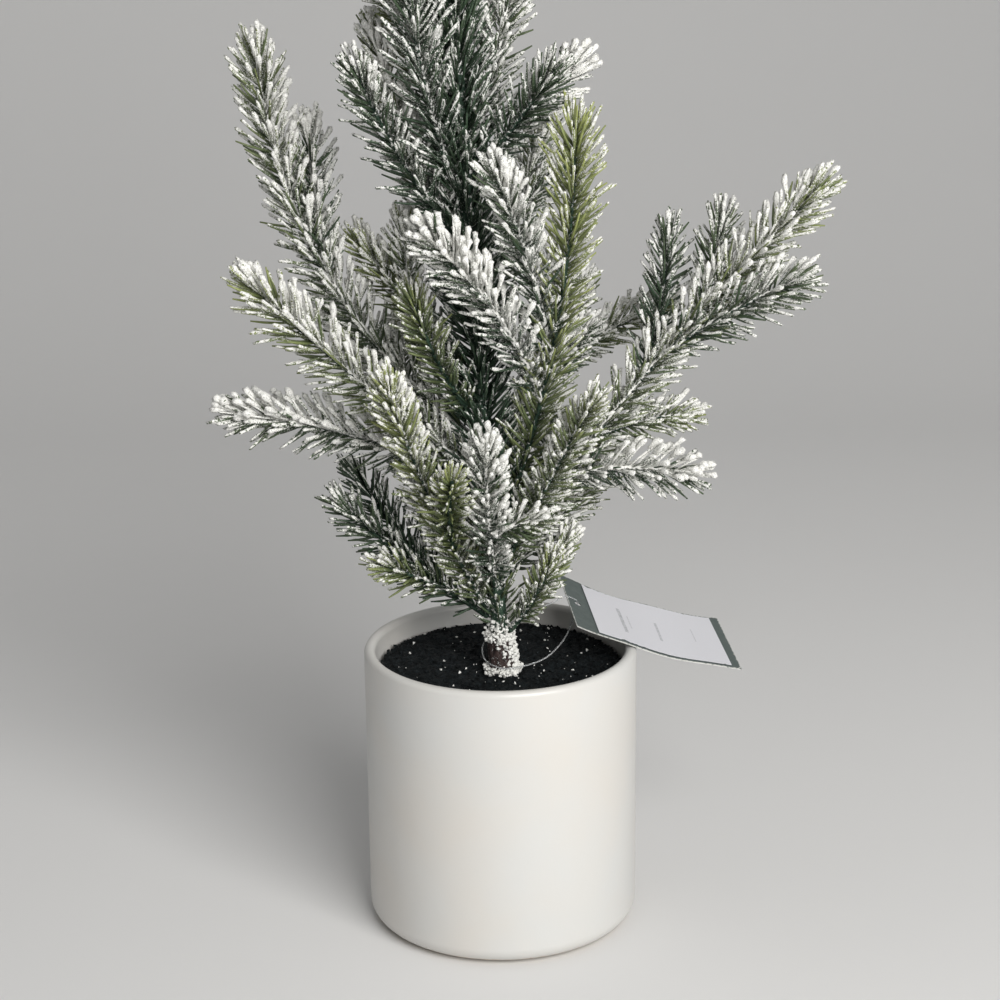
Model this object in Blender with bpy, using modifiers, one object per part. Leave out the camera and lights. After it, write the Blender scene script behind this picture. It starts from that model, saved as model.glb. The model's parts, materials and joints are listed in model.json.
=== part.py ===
"""Artificial tabletop tree: a frosted pine with bendable branches, set in a ceramic pot.

Metres, +Z up.  The origin is the centre of the pot's underside, on the table.  The front of the
tree faces -Y and its right-hand side +X.  A steel rod set in a cement weight carries the trunk.
Each branch is a steel wire with moulded needle sprigs on it, and turns at a knuckle on the trunk.
The sprigs are modelled as the solid cores that their needles stand on.
"""

import math

import bmesh
import bpy
from mathutils import Vector

MM = 0.001
FIT = 0.0003            # gap between pieces that touch
MERGE = 0.00001         # vertices closer than this are one

# Pot
POT_RADIUS = 0.066
POT_HEIGHT = 0.140      # rim above the table
POT_WALL = 0.0055
POT_FLOOR = 0.007
POT_FOOT_ROUND = 0.0085
POT_FLOOR_FILLET = 0.006
POT_STEPS = 56

# Foam pad glued in a recess under the pot: the tree rests on it
PAD_RADIUS = 0.050
PAD_STANDS_PROUD = 0.001
PAD_RECESS = 0.0015
PAD_EDGE = 0.0005

# Filling, from the bottom up
BALLAST_HEIGHT = 0.050
SOIL_DROP = 0.008       # soil surface below the rim
SOIL_THICKNESS = 0.010
SOIL_CROWN = 0.0015     # how far the middle of the soil stands above its edge
SOIL_EDGE_GAP = 0.0025

# Trunk
ROD_RADIUS = 0.002
ROD_SOCKET_DEPTH = 0.040
TRUNK_FOOT = (0.001, -0.012)
TRUNK_LEAN = (-0.062, 0.104)
TRUNK_STRAIGHTENS = -0.168          # 1/m
ROD_TOP_SHARE = 0.80                # of the crown's height
SLEEVE_RADIUS = 0.0065
SLEEVE_SHOWS = 0.017                # bare sleeve above the soil
WRAP_RADIUS_LOW = 0.0040
WRAP_RADIUS_HIGH = 0.0032

# Crown
TREE_HEIGHT = 0.600
DRAWN_CROWN = 0.468                 # crown height at which the branch table below was drawn
KNUCKLE_RADIUS = 0.0016
WIRE_RADIUS = 0.0009
WIRE_SHARE = 0.55                   # of the branch that the wire runs along
CORE_GAP = 0.013                    # bare wire between the trunk and the sprig
CORE_STEM_RADIUS = 0.0022
CORE_GIRTH = 0.0060
CORE_SWELLS_OVER = 0.032
CORE_TIP_ROUND = 0.010
LEADER_STARTS_SHARE = 0.70          # of the crown's height
LEADER_GIRTH = 0.0065

# Hang tag and its nylon loop
TAG_LENGTH = 0.088
TAG_WIDTH = 0.052
TAG_THICKNESS = 0.0005
TAG_HEADING = 12.0                  # degrees from +X
TAG_DROOP = 20.0                    # degrees, free end down
TAG_ROLL = 10.0                     # degrees, front edge down
TAG_SAG = 0.0035                    # middle of the card below its ends
TAG_RIM_GAP = 0.0006
TAG_RIM_ANGLE = 17.0                # degrees round the rim, where the card's middle line crosses it
TAG_RIM_PLACE = 0.034               # along the card from its tied end to that crossing
TAG_HOLE_RADIUS = 0.0018
TAG_HOLE_INSET = 0.0058
LABEL_THICKNESS = 0.0002
LABEL_MARGIN_TIED = 0.0125
LABEL_MARGIN_FREE = 0.0050
LABEL_MARGIN_SIDE = 0.0015
LOOP_RADIUS = 0.00035

# Branches.  Millimetres at the drawn crown height: the root's height above the soil, the tip as
# (right, back, up) from the pot's axis at soil level, the bow (share of the length by which the
# elbow stands above the straight line), and side sprigs as (place on the branch, tip).
BRANCHES = {
    "low_left": (26, (-80, -8, 87), -0.04, [(0.26, (-72, 14, 97)), (0.18, (-60, -28, 60))]),
    "low_right": (19, (26, -21, 64), -0.12, [(0.32, (36, 2, 66))]),
    "front_left": (30, (-52, -46, 156), -0.06, [(0.28, (-20, -66, 112))]),
    "front_frost": (42, (-6, -50, 127), -0.14, [(0.40, (25, -42, 84))]),
    "left_middle": (92, (-131, 0, 125), 0.10, []),
    "left_raised": (96, (-117, -20, 196), -0.03, []),
    "left_tall": (112, (-110, 26, 298), -0.24, [(0.46, (-87, 36, 260))]),
    "left_behind": (140, (-68, 30, 206), -0.04, [(0.42, (-42, 22, 217))]),
    "middle_left": (122, (-40, -30, 192), -0.10, []),
    "front_tall": (72, (36, -26, 270), -0.10, [(0.42, (-3, -42, 250)), (0.32, (-34, -54, 222))]),
    "right_spread": (56, (154, 0, 233), 0.05, [
        (0.20, (96, -22, 97)),
        (0.30, (97, 14, 118)),
        (0.45, (82, 30, 210)),
        (0.52, (144, -22, 193)),
        (0.62, (107, 28, 217)),
    ]),
    "right_front": (52, (46, -44, 146), 0.00, []),
    "upper_left": (206, (-64, -16, 293), -0.08, [(0.26, (-56, 28, 306))]),
    "upper_right": (236, (30, -18, 291), -0.04, [(0.34, (43, 20, 288))]),
    "top_front": (226, (-40, -18, 384), -0.10, []),
    "top_right": (248, (14, 14, 372), -0.06, [(0.40, (26, 36, 350))]),
    "top_left": (262, (-62, 22, 372), -0.08, [(0.40, (-32, 44, 388))]),
    "back_low_left": (34, (-48, 60, 90), -0.06, [(0.30, (-16, 70, 78))]),
    "back_low_right": (44, (58, 50, 92), -0.04, [(0.32, (24, 68, 112))]),
    "back_middle_left": (84, (-86, 60, 170), -0.04, [(0.40, (-48, 76, 156))]),
    "back_middle_right": (98, (46, 78, 174), -0.06, [(0.36, (47, 34, 160)), (0.50, (88, 58, 164))]),
    "back_high_left": (166, (-42, 66, 264), -0.10, [(0.40, (-12, 70, 240))]),
    "back_high_right": (170, (26, 66, 268), -0.10, [(0.42, (38, 54, 236))]),
}
LEADER_SIDES = [
    (0.06, (-44, 4, 418)),
    (0.12, (-22, 38, 426)),
    (0.20, (0, -16, 430)),
    (0.36, (-6, 20, 446)),
]

# Route of the nylon loop: millimetres (right, back, up) from the trunk's foot, up to the card.
# The last point of the route is the card's hole.
LOOP_ROUTE = [
    (34.7, 24, 26.5), (30.5, 23.2, 28), (26, 21.5, 26), (19, 18, 24), (12, 14, 21), (3, 12, 18),
    (-5, 10, 14), (-9.5, 3, 10), (-8, -6, 6), (0, -10, 3.5), (10, -6, 3), (21, 0, 5),
    (29, 8.2, 10), (33.2, 16.4, 15),
]

SOIL_TOP = POT_HEIGHT - SOIL_DROP
BORE_RADIUS = POT_RADIUS - POT_WALL
FLOOR_TOP = PAD_STANDS_PROUD + POT_FLOOR
CROWN_HEIGHT = TREE_HEIGHT - SOIL_TOP
CROWN_SCALE = CROWN_HEIGHT / DRAWN_CROWN
SLEEVE_TOP = SOIL_TOP + SLEEVE_SHOWS
# the knuckle of the lowest branch stays clear of the slanted end of the sleeve
LOWEST_ROOT = SLEEVE_TOP + SLEEVE_RADIUS * math.hypot(*TRUNK_LEAN) + FIT + KNUCKLE_RADIUS

MATERIALS = {
    "pot_glaze": ((0.83, 0.81, 0.77), 0.22, 0.0),
    "foam_pad": ((0.30, 0.30, 0.30), 0.90, 0.0),
    "cement": ((0.42, 0.41, 0.39), 0.95, 0.0),
    "foam": ((0.80, 0.80, 0.78), 0.80, 0.0),
    "soil": ((0.012, 0.012, 0.014), 0.85, 0.0),
    "steel_wire": ((0.30, 0.30, 0.30), 0.40, 1.0),
    "bark_plastic": ((0.045, 0.024, 0.020), 0.60, 0.0),
    "floral_tape": ((0.030, 0.060, 0.040), 0.80, 0.0),
    "needles": ((0.10, 0.16, 0.12), 0.70, 0.0),
    "tag_card": ((0.09, 0.11, 0.105), 0.60, 0.0),
    "label_paper": ((0.80, 0.80, 0.84), 0.60, 0.0),
    "nylon": ((0.80, 0.80, 0.80), 0.20, 0.0),
}


def clear_scene():
    for obj in list(bpy.data.objects):
        bpy.data.objects.remove(obj, do_unlink=True)


def new_collection(name):
    collection = bpy.data.collections.new(name)
    bpy.context.scene.collection.children.link(collection)
    return collection


def new_material(name):
    colour, roughness, metallic = MATERIALS[name]
    material = bpy.data.materials.new(name)
    material.use_nodes = True
    shader = material.node_tree.nodes["Principled BSDF"]
    shader.inputs["Base Color"].default_value = (*colour, 1.0)
    shader.inputs["Roughness"].default_value = roughness
    shader.inputs["Metallic"].default_value = metallic
    return material


def add_object(name, data, collection, material=None, origin=(0, 0, 0)):
    obj = bpy.data.objects.new(name, data)
    obj.location = origin
    collection.objects.link(obj)
    if material:
        own = material.copy()
        own.name = name
        data.materials.append(own)
    return obj


def make_cutter(obj):
    obj.hide_render = True
    obj.display_type = "WIRE"


def smooth(mesh, angle=40.0):
    mesh.shade_smooth()
    mesh.set_sharp_from_angle(angle=math.radians(angle))


def boolean(target, cutter, operation):
    modifier = target.modifiers.new(operation.lower(), "BOOLEAN")
    modifier.operation = operation
    modifier.object = cutter
    make_cutter(cutter)


def arc(centre_x, centre_z, radius, start, end, steps):
    """Points of an arc in the turning plane, angles in degrees from the outward direction."""
    points = []
    for step in range(steps + 1):
        angle = math.radians(start + (end - start) * step / steps)
        points.append((centre_x + radius * math.cos(angle), centre_z + radius * math.sin(angle)))
    return points


def turned(name, profile, collection, material, steps=POT_STEPS, origin=(0, 0, 0)):
    """A profile of (radius, height) turned about the vertical through the origin."""
    mesh = bpy.data.meshes.new(name)
    shape = bmesh.new()
    verts = [shape.verts.new((radius, 0.0, height)) for radius, height in profile]
    for first, second in zip(verts, verts[1:]):
        shape.edges.new((first, second))
    shape.to_mesh(mesh)
    shape.free()
    obj = add_object(name, mesh, collection, material, origin)
    screw = obj.modifiers.new("turn", "SCREW")
    screw.steps = steps
    screw.render_steps = steps
    screw.use_merge_vertices = True
    screw.merge_threshold = MERGE
    return obj


def tube(name, points, radii, collection, material=None, origin=(0, 0, 0), fineness=1, ring=False):
    """A round tube along the points, as a closed mesh.  Fineness 1 gives 6 sides, 2 gives 8."""
    curve = bpy.data.curves.new(name, "CURVE")
    curve.dimensions = "3D"
    curve.bevel_depth = 1.0
    curve.bevel_resolution = fineness
    curve.use_fill_caps = not ring
    spline = curve.splines.new("POLY")
    spline.points.add(len(points) - 1)
    spline.use_cyclic_u = ring
    for place, point, radius in zip(spline.points, points, radii):
        place.co = (*(Vector(point) - Vector(origin)), 1.0)
        place.radius = radius
    guide = bpy.data.objects.new(name + "_guide", curve)
    bpy.context.scene.collection.objects.link(guide)
    graph = bpy.context.evaluated_depsgraph_get()
    mesh = bpy.data.meshes.new_from_object(guide.evaluated_get(graph))
    bpy.data.objects.remove(guide, do_unlink=True)
    bpy.data.curves.remove(curve)
    mesh.name = name
    shape = bmesh.new()
    shape.from_mesh(mesh)
    bmesh.ops.remove_doubles(shape, verts=shape.verts, dist=MERGE / 10)
    bmesh.ops.recalc_face_normals(shape, faces=shape.faces)
    shape.to_mesh(mesh)
    shape.free()
    smooth(mesh)
    return add_object(name, mesh, collection, material, origin)


def trunk_at(height):
    """Centre of the trunk at a height above the table; upright inside the pot, leaning above it."""
    rise = max(0.0, height - SOIL_TOP)
    straightens = TRUNK_STRAIGHTENS / CROWN_SCALE
    x = TRUNK_FOOT[0] + TRUNK_LEAN[0] * rise
    y = TRUNK_FOOT[1] + TRUNK_LEAN[1] * rise + straightens * rise * rise
    return Vector((x, y, height))


def trunk_run(low, high, spacing=0.035):
    """Points up the trunk between two heights, with one at the soil if the run crosses it."""
    stops = [low, high]
    if low < SOIL_TOP < high:
        stops = [low, SOIL_TOP, high]
    heights = []
    for start, end in zip(stops, stops[1:]):
        count = max(1, round((end - start) / spacing))
        heights += [start + (end - start) * step / count for step in range(count)]
    return [trunk_at(height) for height in heights + [high]]


def crown_point(place):
    """A place in the branch table, in metres, at the crown's real scale."""
    right, back, up = (value * MM * CROWN_SCALE for value in place)
    return Vector((right, back, SOIL_TOP + up))


def wrap_radius(height):
    share = (height - SLEEVE_TOP) / (CROWN_HEIGHT * LEADER_STARTS_SHARE)
    return WRAP_RADIUS_LOW + (WRAP_RADIUS_HIGH - WRAP_RADIUS_LOW) * min(1.0, max(0.0, share))


def bend(start, elbow, end, share):
    """A point on the quadratic curve from start to end that leaves towards the elbow."""
    return start.lerp(elbow, share).lerp(elbow.lerp(end, share), share)


class Stem:
    """The centre line of a sprig or branch, measured along its length."""

    def __init__(self, start, elbow, end, samples=60):
        self.points = [bend(start, elbow, end, step / samples) for step in range(samples + 1)]
        self.lengths = [0.0]
        for first, second in zip(self.points, self.points[1:]):
            self.lengths.append(self.lengths[-1] + (second - first).length)
        self.length = self.lengths[-1]

    def at(self, distance):
        for place in range(1, len(self.points)):
            if distance <= self.lengths[place] or place == len(self.points) - 1:
                span = self.lengths[place] - self.lengths[place - 1]
                share = (distance - self.lengths[place - 1]) / span
                return self.points[place - 1].lerp(self.points[place], share)
        return self.points[-1]


def core_radius(stem, distance, start, girth):
    """Radius of a sprig's core: it swells from the stem, stays full and rounds off at the tip."""
    swell = min(1.0, max(0.0, (distance - start) / CORE_SWELLS_OVER))
    swell = swell * swell * (3.0 - 2.0 * swell)
    radius = CORE_STEM_RADIUS + (girth - CORE_STEM_RADIUS) * swell
    to_tip = min(1.0, max(0.0, (stem.length - distance) / CORE_TIP_ROUND))
    return radius * (0.35 + 0.65 * math.sqrt(1.0 - (1.0 - to_tip) ** 2))


def core(name, stem, start, girth, collection, material, origin):
    """The solid core of one sprig, from a distance along its stem to its tip."""
    swelling = [start + CORE_SWELLS_OVER * share for share in (0.0, 0.35, 0.65, 1.0)]
    swelling = [place for place in swelling if place < stem.length - 2 * CORE_TIP_ROUND]
    rounding = [stem.length - CORE_TIP_ROUND * share for share in (1.0, 0.45, 0.0)]
    gap = rounding[0] - swelling[-1]
    count = max(1, round(gap / 0.028))
    between = [swelling[-1] + gap * step / count for step in range(1, count)]
    places = swelling + between + rounding
    radii = [core_radius(stem, place, start, girth) for place in places]
    points = [stem.at(place) for place in places]
    return tube(name, points, radii, collection, material, origin)


def branch_shape(name):
    """Hinge centre, hinge axis, main stem, and side stems of a branch."""
    root_height, tip_place, bow, sides = BRANCHES[name]
    tip = crown_point(tip_place)
    height = max(LOWEST_ROOT, SOIL_TOP + root_height * MM * CROWN_SCALE)
    centre = trunk_at(height)
    heading = Vector((tip.x - centre.x, tip.y - centre.y, 0.0)).normalized()
    hinge = centre + heading * (wrap_radius(height) + FIT + KNUCKLE_RADIUS)
    stem = bowed_stem(hinge, tip, bow, heading)
    side_stems = []
    for place, side_tip in sides:
        fork = stem.at(stem.length * place)
        side_stems.append(side_stem(fork, stem.at(stem.length * (place + 0.05)), side_tip))
    axis = heading.cross(Vector((0.0, 0.0, 1.0)))
    return hinge, axis, stem, side_stems


def bowed_stem(start, tip, bow, heading):
    chord = tip - start
    across = heading.cross(Vector((0.0, 0.0, 1.0)))
    upward = across.cross(chord).normalized()
    return Stem(start, start + chord / 2 + upward * chord.length * bow, tip)


def side_stem(fork, ahead, tip_place):
    """A side sprig leaves its branch a little along the branch's own direction."""
    tip = crown_point(tip_place)
    reach = (tip - fork).length
    along = (ahead - fork).normalized()
    return Stem(fork, fork + along * reach * 0.16 + (tip - fork) * 0.34, tip)


def make_pot(parts):
    foot = PAD_STANDS_PROUD
    ceiling = foot + PAD_RECESS
    recess = PAD_RADIUS + FIT
    lip = POT_WALL / 2
    profile = [(0.0, FLOOR_TOP + PAD_RECESS)]
    floor = FLOOR_TOP + PAD_RECESS
    fillet = POT_FLOOR_FILLET
    profile += arc(BORE_RADIUS - fillet, floor + fillet, fillet, -90, 0, 3)
    profile += arc(POT_RADIUS - lip, POT_HEIGHT - lip, lip, 180, 0, 6)
    round_ = min(POT_FOOT_ROUND, (POT_RADIUS - PAD_RADIUS) / 2)  # leaves the pad a flat rim
    profile += arc(POT_RADIUS - round_, foot + round_, round_, 0, -90, 5)
    profile += [(recess, foot), (recess, ceiling), (0.0, ceiling)]
    turned("pot", profile, parts, new_material("pot_glaze"))


def make_base_pad(parts):
    top = PAD_STANDS_PROUD + PAD_RECESS - FIT
    inner = PAD_RADIUS - PAD_EDGE
    profile = [(0.0, top), (inner, top), (PAD_RADIUS, top - PAD_EDGE)]
    profile += [(PAD_RADIUS, PAD_EDGE), (inner, 0.0), (0.0, 0.0)]
    turned("base_pad", profile, parts, new_material("foam_pad"), steps=32)


def rod_hole(name, radius, low, high, cutters):
    """An upright cutter through the filling, where the trunk stands."""
    bpy.ops.mesh.primitive_cylinder_add(
        vertices=16,
        radius=radius,
        depth=high - low,
        location=(*TRUNK_FOOT, (low + high) / 2),
    )
    cutter = bpy.context.active_object
    cutter.name = name
    for collection in list(cutter.users_collection):
        collection.objects.unlink(cutter)
    cutters.objects.link(cutter)
    return cutter


def make_filling(parts, cutters):
    floor = FLOOR_TOP + PAD_RECESS + FIT
    radius = BORE_RADIUS - FIT
    chamfer = POT_FLOOR_FILLET
    ballast_top = floor + BALLAST_HEIGHT
    profile = [(0.0, ballast_top), (radius, ballast_top), (radius, floor + chamfer)]
    profile += [(radius - chamfer, floor), (0.0, floor)]
    ballast = turned("ballast", profile, parts, new_material("cement"), steps=36)
    reach = 2 * FIT
    low = ballast_top - ROD_SOCKET_DEPTH
    hole = rod_hole("ballast_hole", ROD_RADIUS + FIT, low, ballast_top + reach, cutters)
    boolean(ballast, hole, "DIFFERENCE")

    foam_low = ballast_top + FIT
    foam_high = SOIL_TOP - SOIL_THICKNESS - FIT
    profile = [(0.0, foam_high), (radius, foam_high), (radius, foam_low), (0.0, foam_low)]
    foam = turned("foam_plug", profile, parts, new_material("foam"), steps=36)
    hole = rod_hole("foam_hole", ROD_RADIUS + FIT, foam_low - reach, foam_high + reach, cutters)
    boolean(foam, hole, "DIFFERENCE")

    soil_low = SOIL_TOP - SOIL_THICKNESS
    edge = BORE_RADIUS - SOIL_EDGE_GAP
    edge_top = SOIL_TOP - SOIL_CROWN
    profile = [(0.0, SOIL_TOP), (edge / 2, SOIL_TOP - SOIL_CROWN / 3), (edge, edge_top)]
    profile += [(radius, edge_top - SOIL_EDGE_GAP), (radius, soil_low), (0.0, soil_low)]
    soil = turned("soil", profile, parts, new_material("soil"), steps=36)
    hole = rod_hole("soil_hole", SLEEVE_RADIUS + FIT, soil_low - reach, SOIL_TOP + reach, cutters)
    boolean(soil, hole, "DIFFERENCE")
    return low, foam_high


def make_trunk(parts, cutters, socket_low, foam_high):
    rod_top = SOIL_TOP + CROWN_HEIGHT * ROD_TOP_SHARE
    run = trunk_run(socket_low + FIT, rod_top)
    tube("trunk_rod", run, [ROD_RADIUS] * len(run), parts, new_material("steel_wire"))

    leader_low = SOIL_TOP + CROWN_HEIGHT * LEADER_STARTS_SHARE
    sleeve_run = trunk_run(foam_high + FIT, SLEEVE_TOP)
    radii = [SLEEVE_RADIUS] * len(sleeve_run)
    colour = new_material("bark_plastic")
    sleeve = tube("trunk_sleeve", sleeve_run, radii, parts, colour, fineness=3)
    wrap_run = trunk_run(SLEEVE_TOP + FIT, leader_low - FIT)
    radii = [wrap_radius(point.z) for point in wrap_run]
    wrap = tube("trunk_wrap", wrap_run, radii, parts, new_material("floral_tape"), fineness=2)

    bore_run = trunk_run(foam_high - FIT, rod_top + 2 * FIT)
    radii = [ROD_RADIUS + FIT] * len(bore_run)
    for target in (sleeve, wrap, make_leader(parts, cutters, leader_low)):
        bore = tube(target.name + "_bore", bore_run, radii, cutters)
        boolean(target, bore, "DIFFERENCE")


def make_leader(parts, cutters, low):
    """The top sprig, on the end of the trunk, with its side sprigs."""
    top = TREE_HEIGHT
    stem = Stem(trunk_at(low), trunk_at((low + top) / 2), trunk_at(top))
    colour = new_material("needles")
    leader = core("leader_sprig", stem, 0.0, LEADER_GIRTH, parts, colour, (0, 0, 0))
    for number, (place, tip) in enumerate(LEADER_SIDES, 1):
        fork = stem.at(stem.length * place)
        side = side_stem(fork, stem.at(stem.length * (place + 0.05)), tip)
        name = f"leader_side_{number}"
        join = core(name, side, 0.0, CORE_GIRTH, cutters, None, (0, 0, 0))
        boolean(leader, join, "UNION")
    return leader


def wire_points(stem, end):
    """Places along the wire: a round knuckle about the hinge centre, then the plain wire."""
    ball = KNUCKLE_RADIUS
    places = [-0.98 * ball, -0.70 * ball, 0.0, 0.70 * ball, 1.6 * ball]
    radii = [0.20 * ball, 0.70 * ball, ball, 0.72 * ball, WIRE_RADIUS]
    count = max(2, round((end - places[-1]) / 0.016))
    steps = [places[-1] + (end - places[-1]) * step / count for step in range(1, count + 1)]
    return places + steps, radii + [WIRE_RADIUS] * count


def make_branch(name, parts, cutters):
    hinge, _, stem, sides = branch_shape(name)
    end = stem.length * WIRE_SHARE
    places, radii = wire_points(stem, end)
    ahead = (stem.at(KNUCKLE_RADIUS) - hinge).normalized()
    points = [stem.at(place) if place > 0 else hinge + ahead * place for place in places]
    tube(f"wire_{name}", points, radii, parts, new_material("steel_wire"), hinge)

    colour = new_material("needles")
    sprig = core(f"sprig_{name}", stem, CORE_GAP, CORE_GIRTH, parts, colour, hinge)
    for number, side in enumerate(sides, 1):
        join = core(f"side_{name}_{number}", side, 0.0, CORE_GIRTH, cutters, None, hinge)
        boolean(sprig, join, "UNION")
    start = [point for point, place in zip(points, places) if 2 * FIT < place < end]
    channel = start + [stem.at(end + FIT)]
    bore_radii = [WIRE_RADIUS + FIT] * len(channel)
    bore = tube(f"bore_{name}", channel, bore_radii, cutters, None, hinge)
    boolean(sprig, bore, "DIFFERENCE")


def card_frame():
    """Directions of the hang tag (along, across, up from its face) and the middle of its card."""
    heading, droop, roll = (math.radians(value) for value in (TAG_HEADING, TAG_DROOP, TAG_ROLL))
    level = Vector((math.cos(heading), math.sin(heading), 0.0))
    along = level * math.cos(droop) - Vector((0, 0, 1)) * math.sin(droop)
    side = Vector((-math.sin(heading), math.cos(heading), 0.0))
    normal = along.cross(side)
    across = side * math.cos(roll) + normal * math.sin(roll)
    normal = along.cross(across)
    middle = lip_centre(TAG_RIM_ANGLE) + along * (TAG_LENGTH / 2 - TAG_RIM_PLACE)
    lift = 0.0
    for degree in range(-90, 91):
        offset = lip_centre(degree) - middle
        if abs(offset.dot(along)) < TAG_LENGTH / 2 and abs(offset.dot(across)) < TAG_WIDTH / 2:
            sag = tag_sag(offset.dot(along))
            lift = max(lift, offset.dot(normal) + POT_WALL / 2 + TAG_RIM_GAP + sag)
    return along, across, normal, middle + normal * lift


def lip_centre(degree):
    """Centre of the rounded lip of the pot, at an angle round the pot from +X."""
    reach = POT_RADIUS - POT_WALL / 2
    angle = math.radians(degree)
    return Vector((reach * math.cos(angle), reach * math.sin(angle), POT_HEIGHT - POT_WALL / 2))


def tag_sag(along):
    """How far the curled card lies below the line between its ends, at a place from its middle."""
    share = 2 * along / TAG_LENGTH
    return TAG_SAG * (1 - share * share)


def bent_sheet(name, low, high, height, thickness, parts, material, origin):
    """A thin rectangle of the tag, curled along its length; height is above the card's back."""
    along, across, normal, middle = card_frame()
    rows = 14
    mesh = bpy.data.meshes.new(name)
    shape = bmesh.new()
    bmesh.ops.create_grid(shape, x_segments=rows, y_segments=2, size=0.5)
    for vert in shape.verts:
        u = low[0] + (vert.co.x + 0.5) * (high[0] - low[0])
        v = low[1] + (vert.co.y + 0.5) * (high[1] - low[1])
        place = middle + along * u + across * v + normal * (height - tag_sag(u))
        vert.co = place - Vector(origin)
    shape.to_mesh(mesh)
    shape.free()
    sheet = add_object(name, mesh, parts, material, origin)
    solidify = sheet.modifiers.new("thickness", "SOLIDIFY")
    solidify.thickness = thickness
    solidify.offset = 1.0
    return sheet


def tag_hole_centre():
    along, _, normal, middle = card_frame()
    u = TAG_HOLE_INSET - TAG_LENGTH / 2
    return middle + along * u + normal * (TAG_THICKNESS / 2 - tag_sag(u))


def make_tag(parts, cutters):
    normal = card_frame()[2]
    half = Vector((TAG_LENGTH / 2, TAG_WIDTH / 2))
    hole = tag_hole_centre()
    punch_reach = normal * (TAG_HOLE_RADIUS + TAG_THICKNESS)
    colour = new_material("tag_card")
    card = bent_sheet("tag_card", -half, half, 0.0, TAG_THICKNESS, parts, colour, hole)
    punch_ends = [hole - punch_reach, hole + punch_reach]
    punch = tube("tag_punch", punch_ends, [TAG_HOLE_RADIUS] * 2, cutters, fineness=3)
    boolean(card, punch, "DIFFERENCE")
    low = (-half.x + LABEL_MARGIN_TIED, -half.y + LABEL_MARGIN_SIDE)
    high = (half.x - LABEL_MARGIN_FREE, half.y - LABEL_MARGIN_SIDE)
    lift = TAG_THICKNESS + FIT
    colour = new_material("label_paper")
    bent_sheet("tag_label", low, high, lift, LABEL_THICKNESS, parts, colour, hole)


def smooth_ring(points, steps):
    """A closed curve through the points, with a number of steps between each pair."""
    count = len(points)
    ring = []
    for place in range(count):
        before, start, end, after = (points[(place + shift) % count] for shift in (-1, 0, 1, 2))
        for step in range(steps):
            t = step / steps
            ring.append(0.5 * (
                2 * start + (end - before) * t
                + (2 * before - 5 * start + 4 * end - after) * t ** 2
                + (3 * start - before - 3 * end + after) * t ** 3
            ))
    return ring


def make_tag_loop(parts):
    foot = Vector((*TRUNK_FOOT, SOIL_TOP))
    route = [foot + Vector(point) * MM for point in LOOP_ROUTE] + [tag_hole_centre()]
    ring = smooth_ring(route, 4)
    radii = [LOOP_RADIUS] * len(ring)
    origin = trunk_at(SLEEVE_TOP)
    tube("tag_loop", ring, radii, parts, new_material("nylon"), origin, ring=True)


def main():
    clear_scene()
    parts = new_collection("tabletop_tree")
    cutters = new_collection("cutters")
    make_pot(parts)
    make_base_pad(parts)
    socket_low, foam_high = make_filling(parts, cutters)
    make_trunk(parts, cutters, socket_low, foam_high)
    for name in BRANCHES:
        make_branch(name, parts, cutters)
    make_tag(parts, cutters)
    make_tag_loop(parts)


main()
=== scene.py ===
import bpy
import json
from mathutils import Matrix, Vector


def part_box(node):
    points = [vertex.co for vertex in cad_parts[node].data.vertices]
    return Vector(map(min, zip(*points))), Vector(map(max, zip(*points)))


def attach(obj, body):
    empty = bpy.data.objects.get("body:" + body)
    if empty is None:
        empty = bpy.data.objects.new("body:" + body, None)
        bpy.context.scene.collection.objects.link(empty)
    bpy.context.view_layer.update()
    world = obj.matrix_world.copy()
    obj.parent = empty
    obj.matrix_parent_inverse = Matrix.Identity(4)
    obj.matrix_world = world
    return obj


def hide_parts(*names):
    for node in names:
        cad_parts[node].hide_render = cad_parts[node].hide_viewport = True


bl_info = {
    "name": "Frosted Tabletop Pine",
    "version": (1, 0, 0),
    "blender": (4, 5, 0),
    "location": "3D View > Sidebar > Tabletop Pine",
    "description": "Makes a small frosted artificial pine in a white glazed pot, with a hang tag",
    "category": "Object",
}

import json
import math

import bpy
import numpy as np
from mathutils import Matrix, Vector

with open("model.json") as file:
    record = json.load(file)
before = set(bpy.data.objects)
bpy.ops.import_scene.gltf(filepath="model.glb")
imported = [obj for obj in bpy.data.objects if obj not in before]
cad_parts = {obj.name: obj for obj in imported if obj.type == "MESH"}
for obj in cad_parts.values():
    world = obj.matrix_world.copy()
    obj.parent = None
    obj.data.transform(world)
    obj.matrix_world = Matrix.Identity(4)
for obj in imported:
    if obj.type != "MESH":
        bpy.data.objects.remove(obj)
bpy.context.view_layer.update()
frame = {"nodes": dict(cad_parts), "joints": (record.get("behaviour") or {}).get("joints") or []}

MM = 0.001
SOIL_TOP = 0.132            # soil at its edge
CROWN_HEIGHT = 0.468        # crown above the soil
TREE_TOP = SOIL_TOP + CROWN_HEIGHT
TRUNK_FOOT = (0.001, -0.012)
TRUNK_LEAN = (-0.062, 0.104)
TRUNK_STRAIGHTENS = -0.168
SLEEVE_TOP = 0.149
LEADER_START = SOIL_TOP + CROWN_HEIGHT * 0.70
STEM_SAMPLES = 60
GOLDEN_TURN = math.pi * (3.0 - math.sqrt(5.0))
UP = np.array((0.0, 0.0, 1.0))
OFF_AXIS = np.array((0.31, -0.83, 0.12))    # a direction that no stem runs along
NEEDLE_CURVE = 0.11         # how far a needle's tip bends towards the sprig's tip, per length
SPARSE_FROST = 0.13         # needles with less frost than this carry no lump
TIP_CLEARANCE = 0.0080      # from the last needle's foot to the end of a stem, before any scaling
TWIG_BEYOND = 0.002         # twig past the last needle's foot
TAPER_REACH = 0.018         # stretch at each end of a sprig in which needles are shorter
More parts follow.
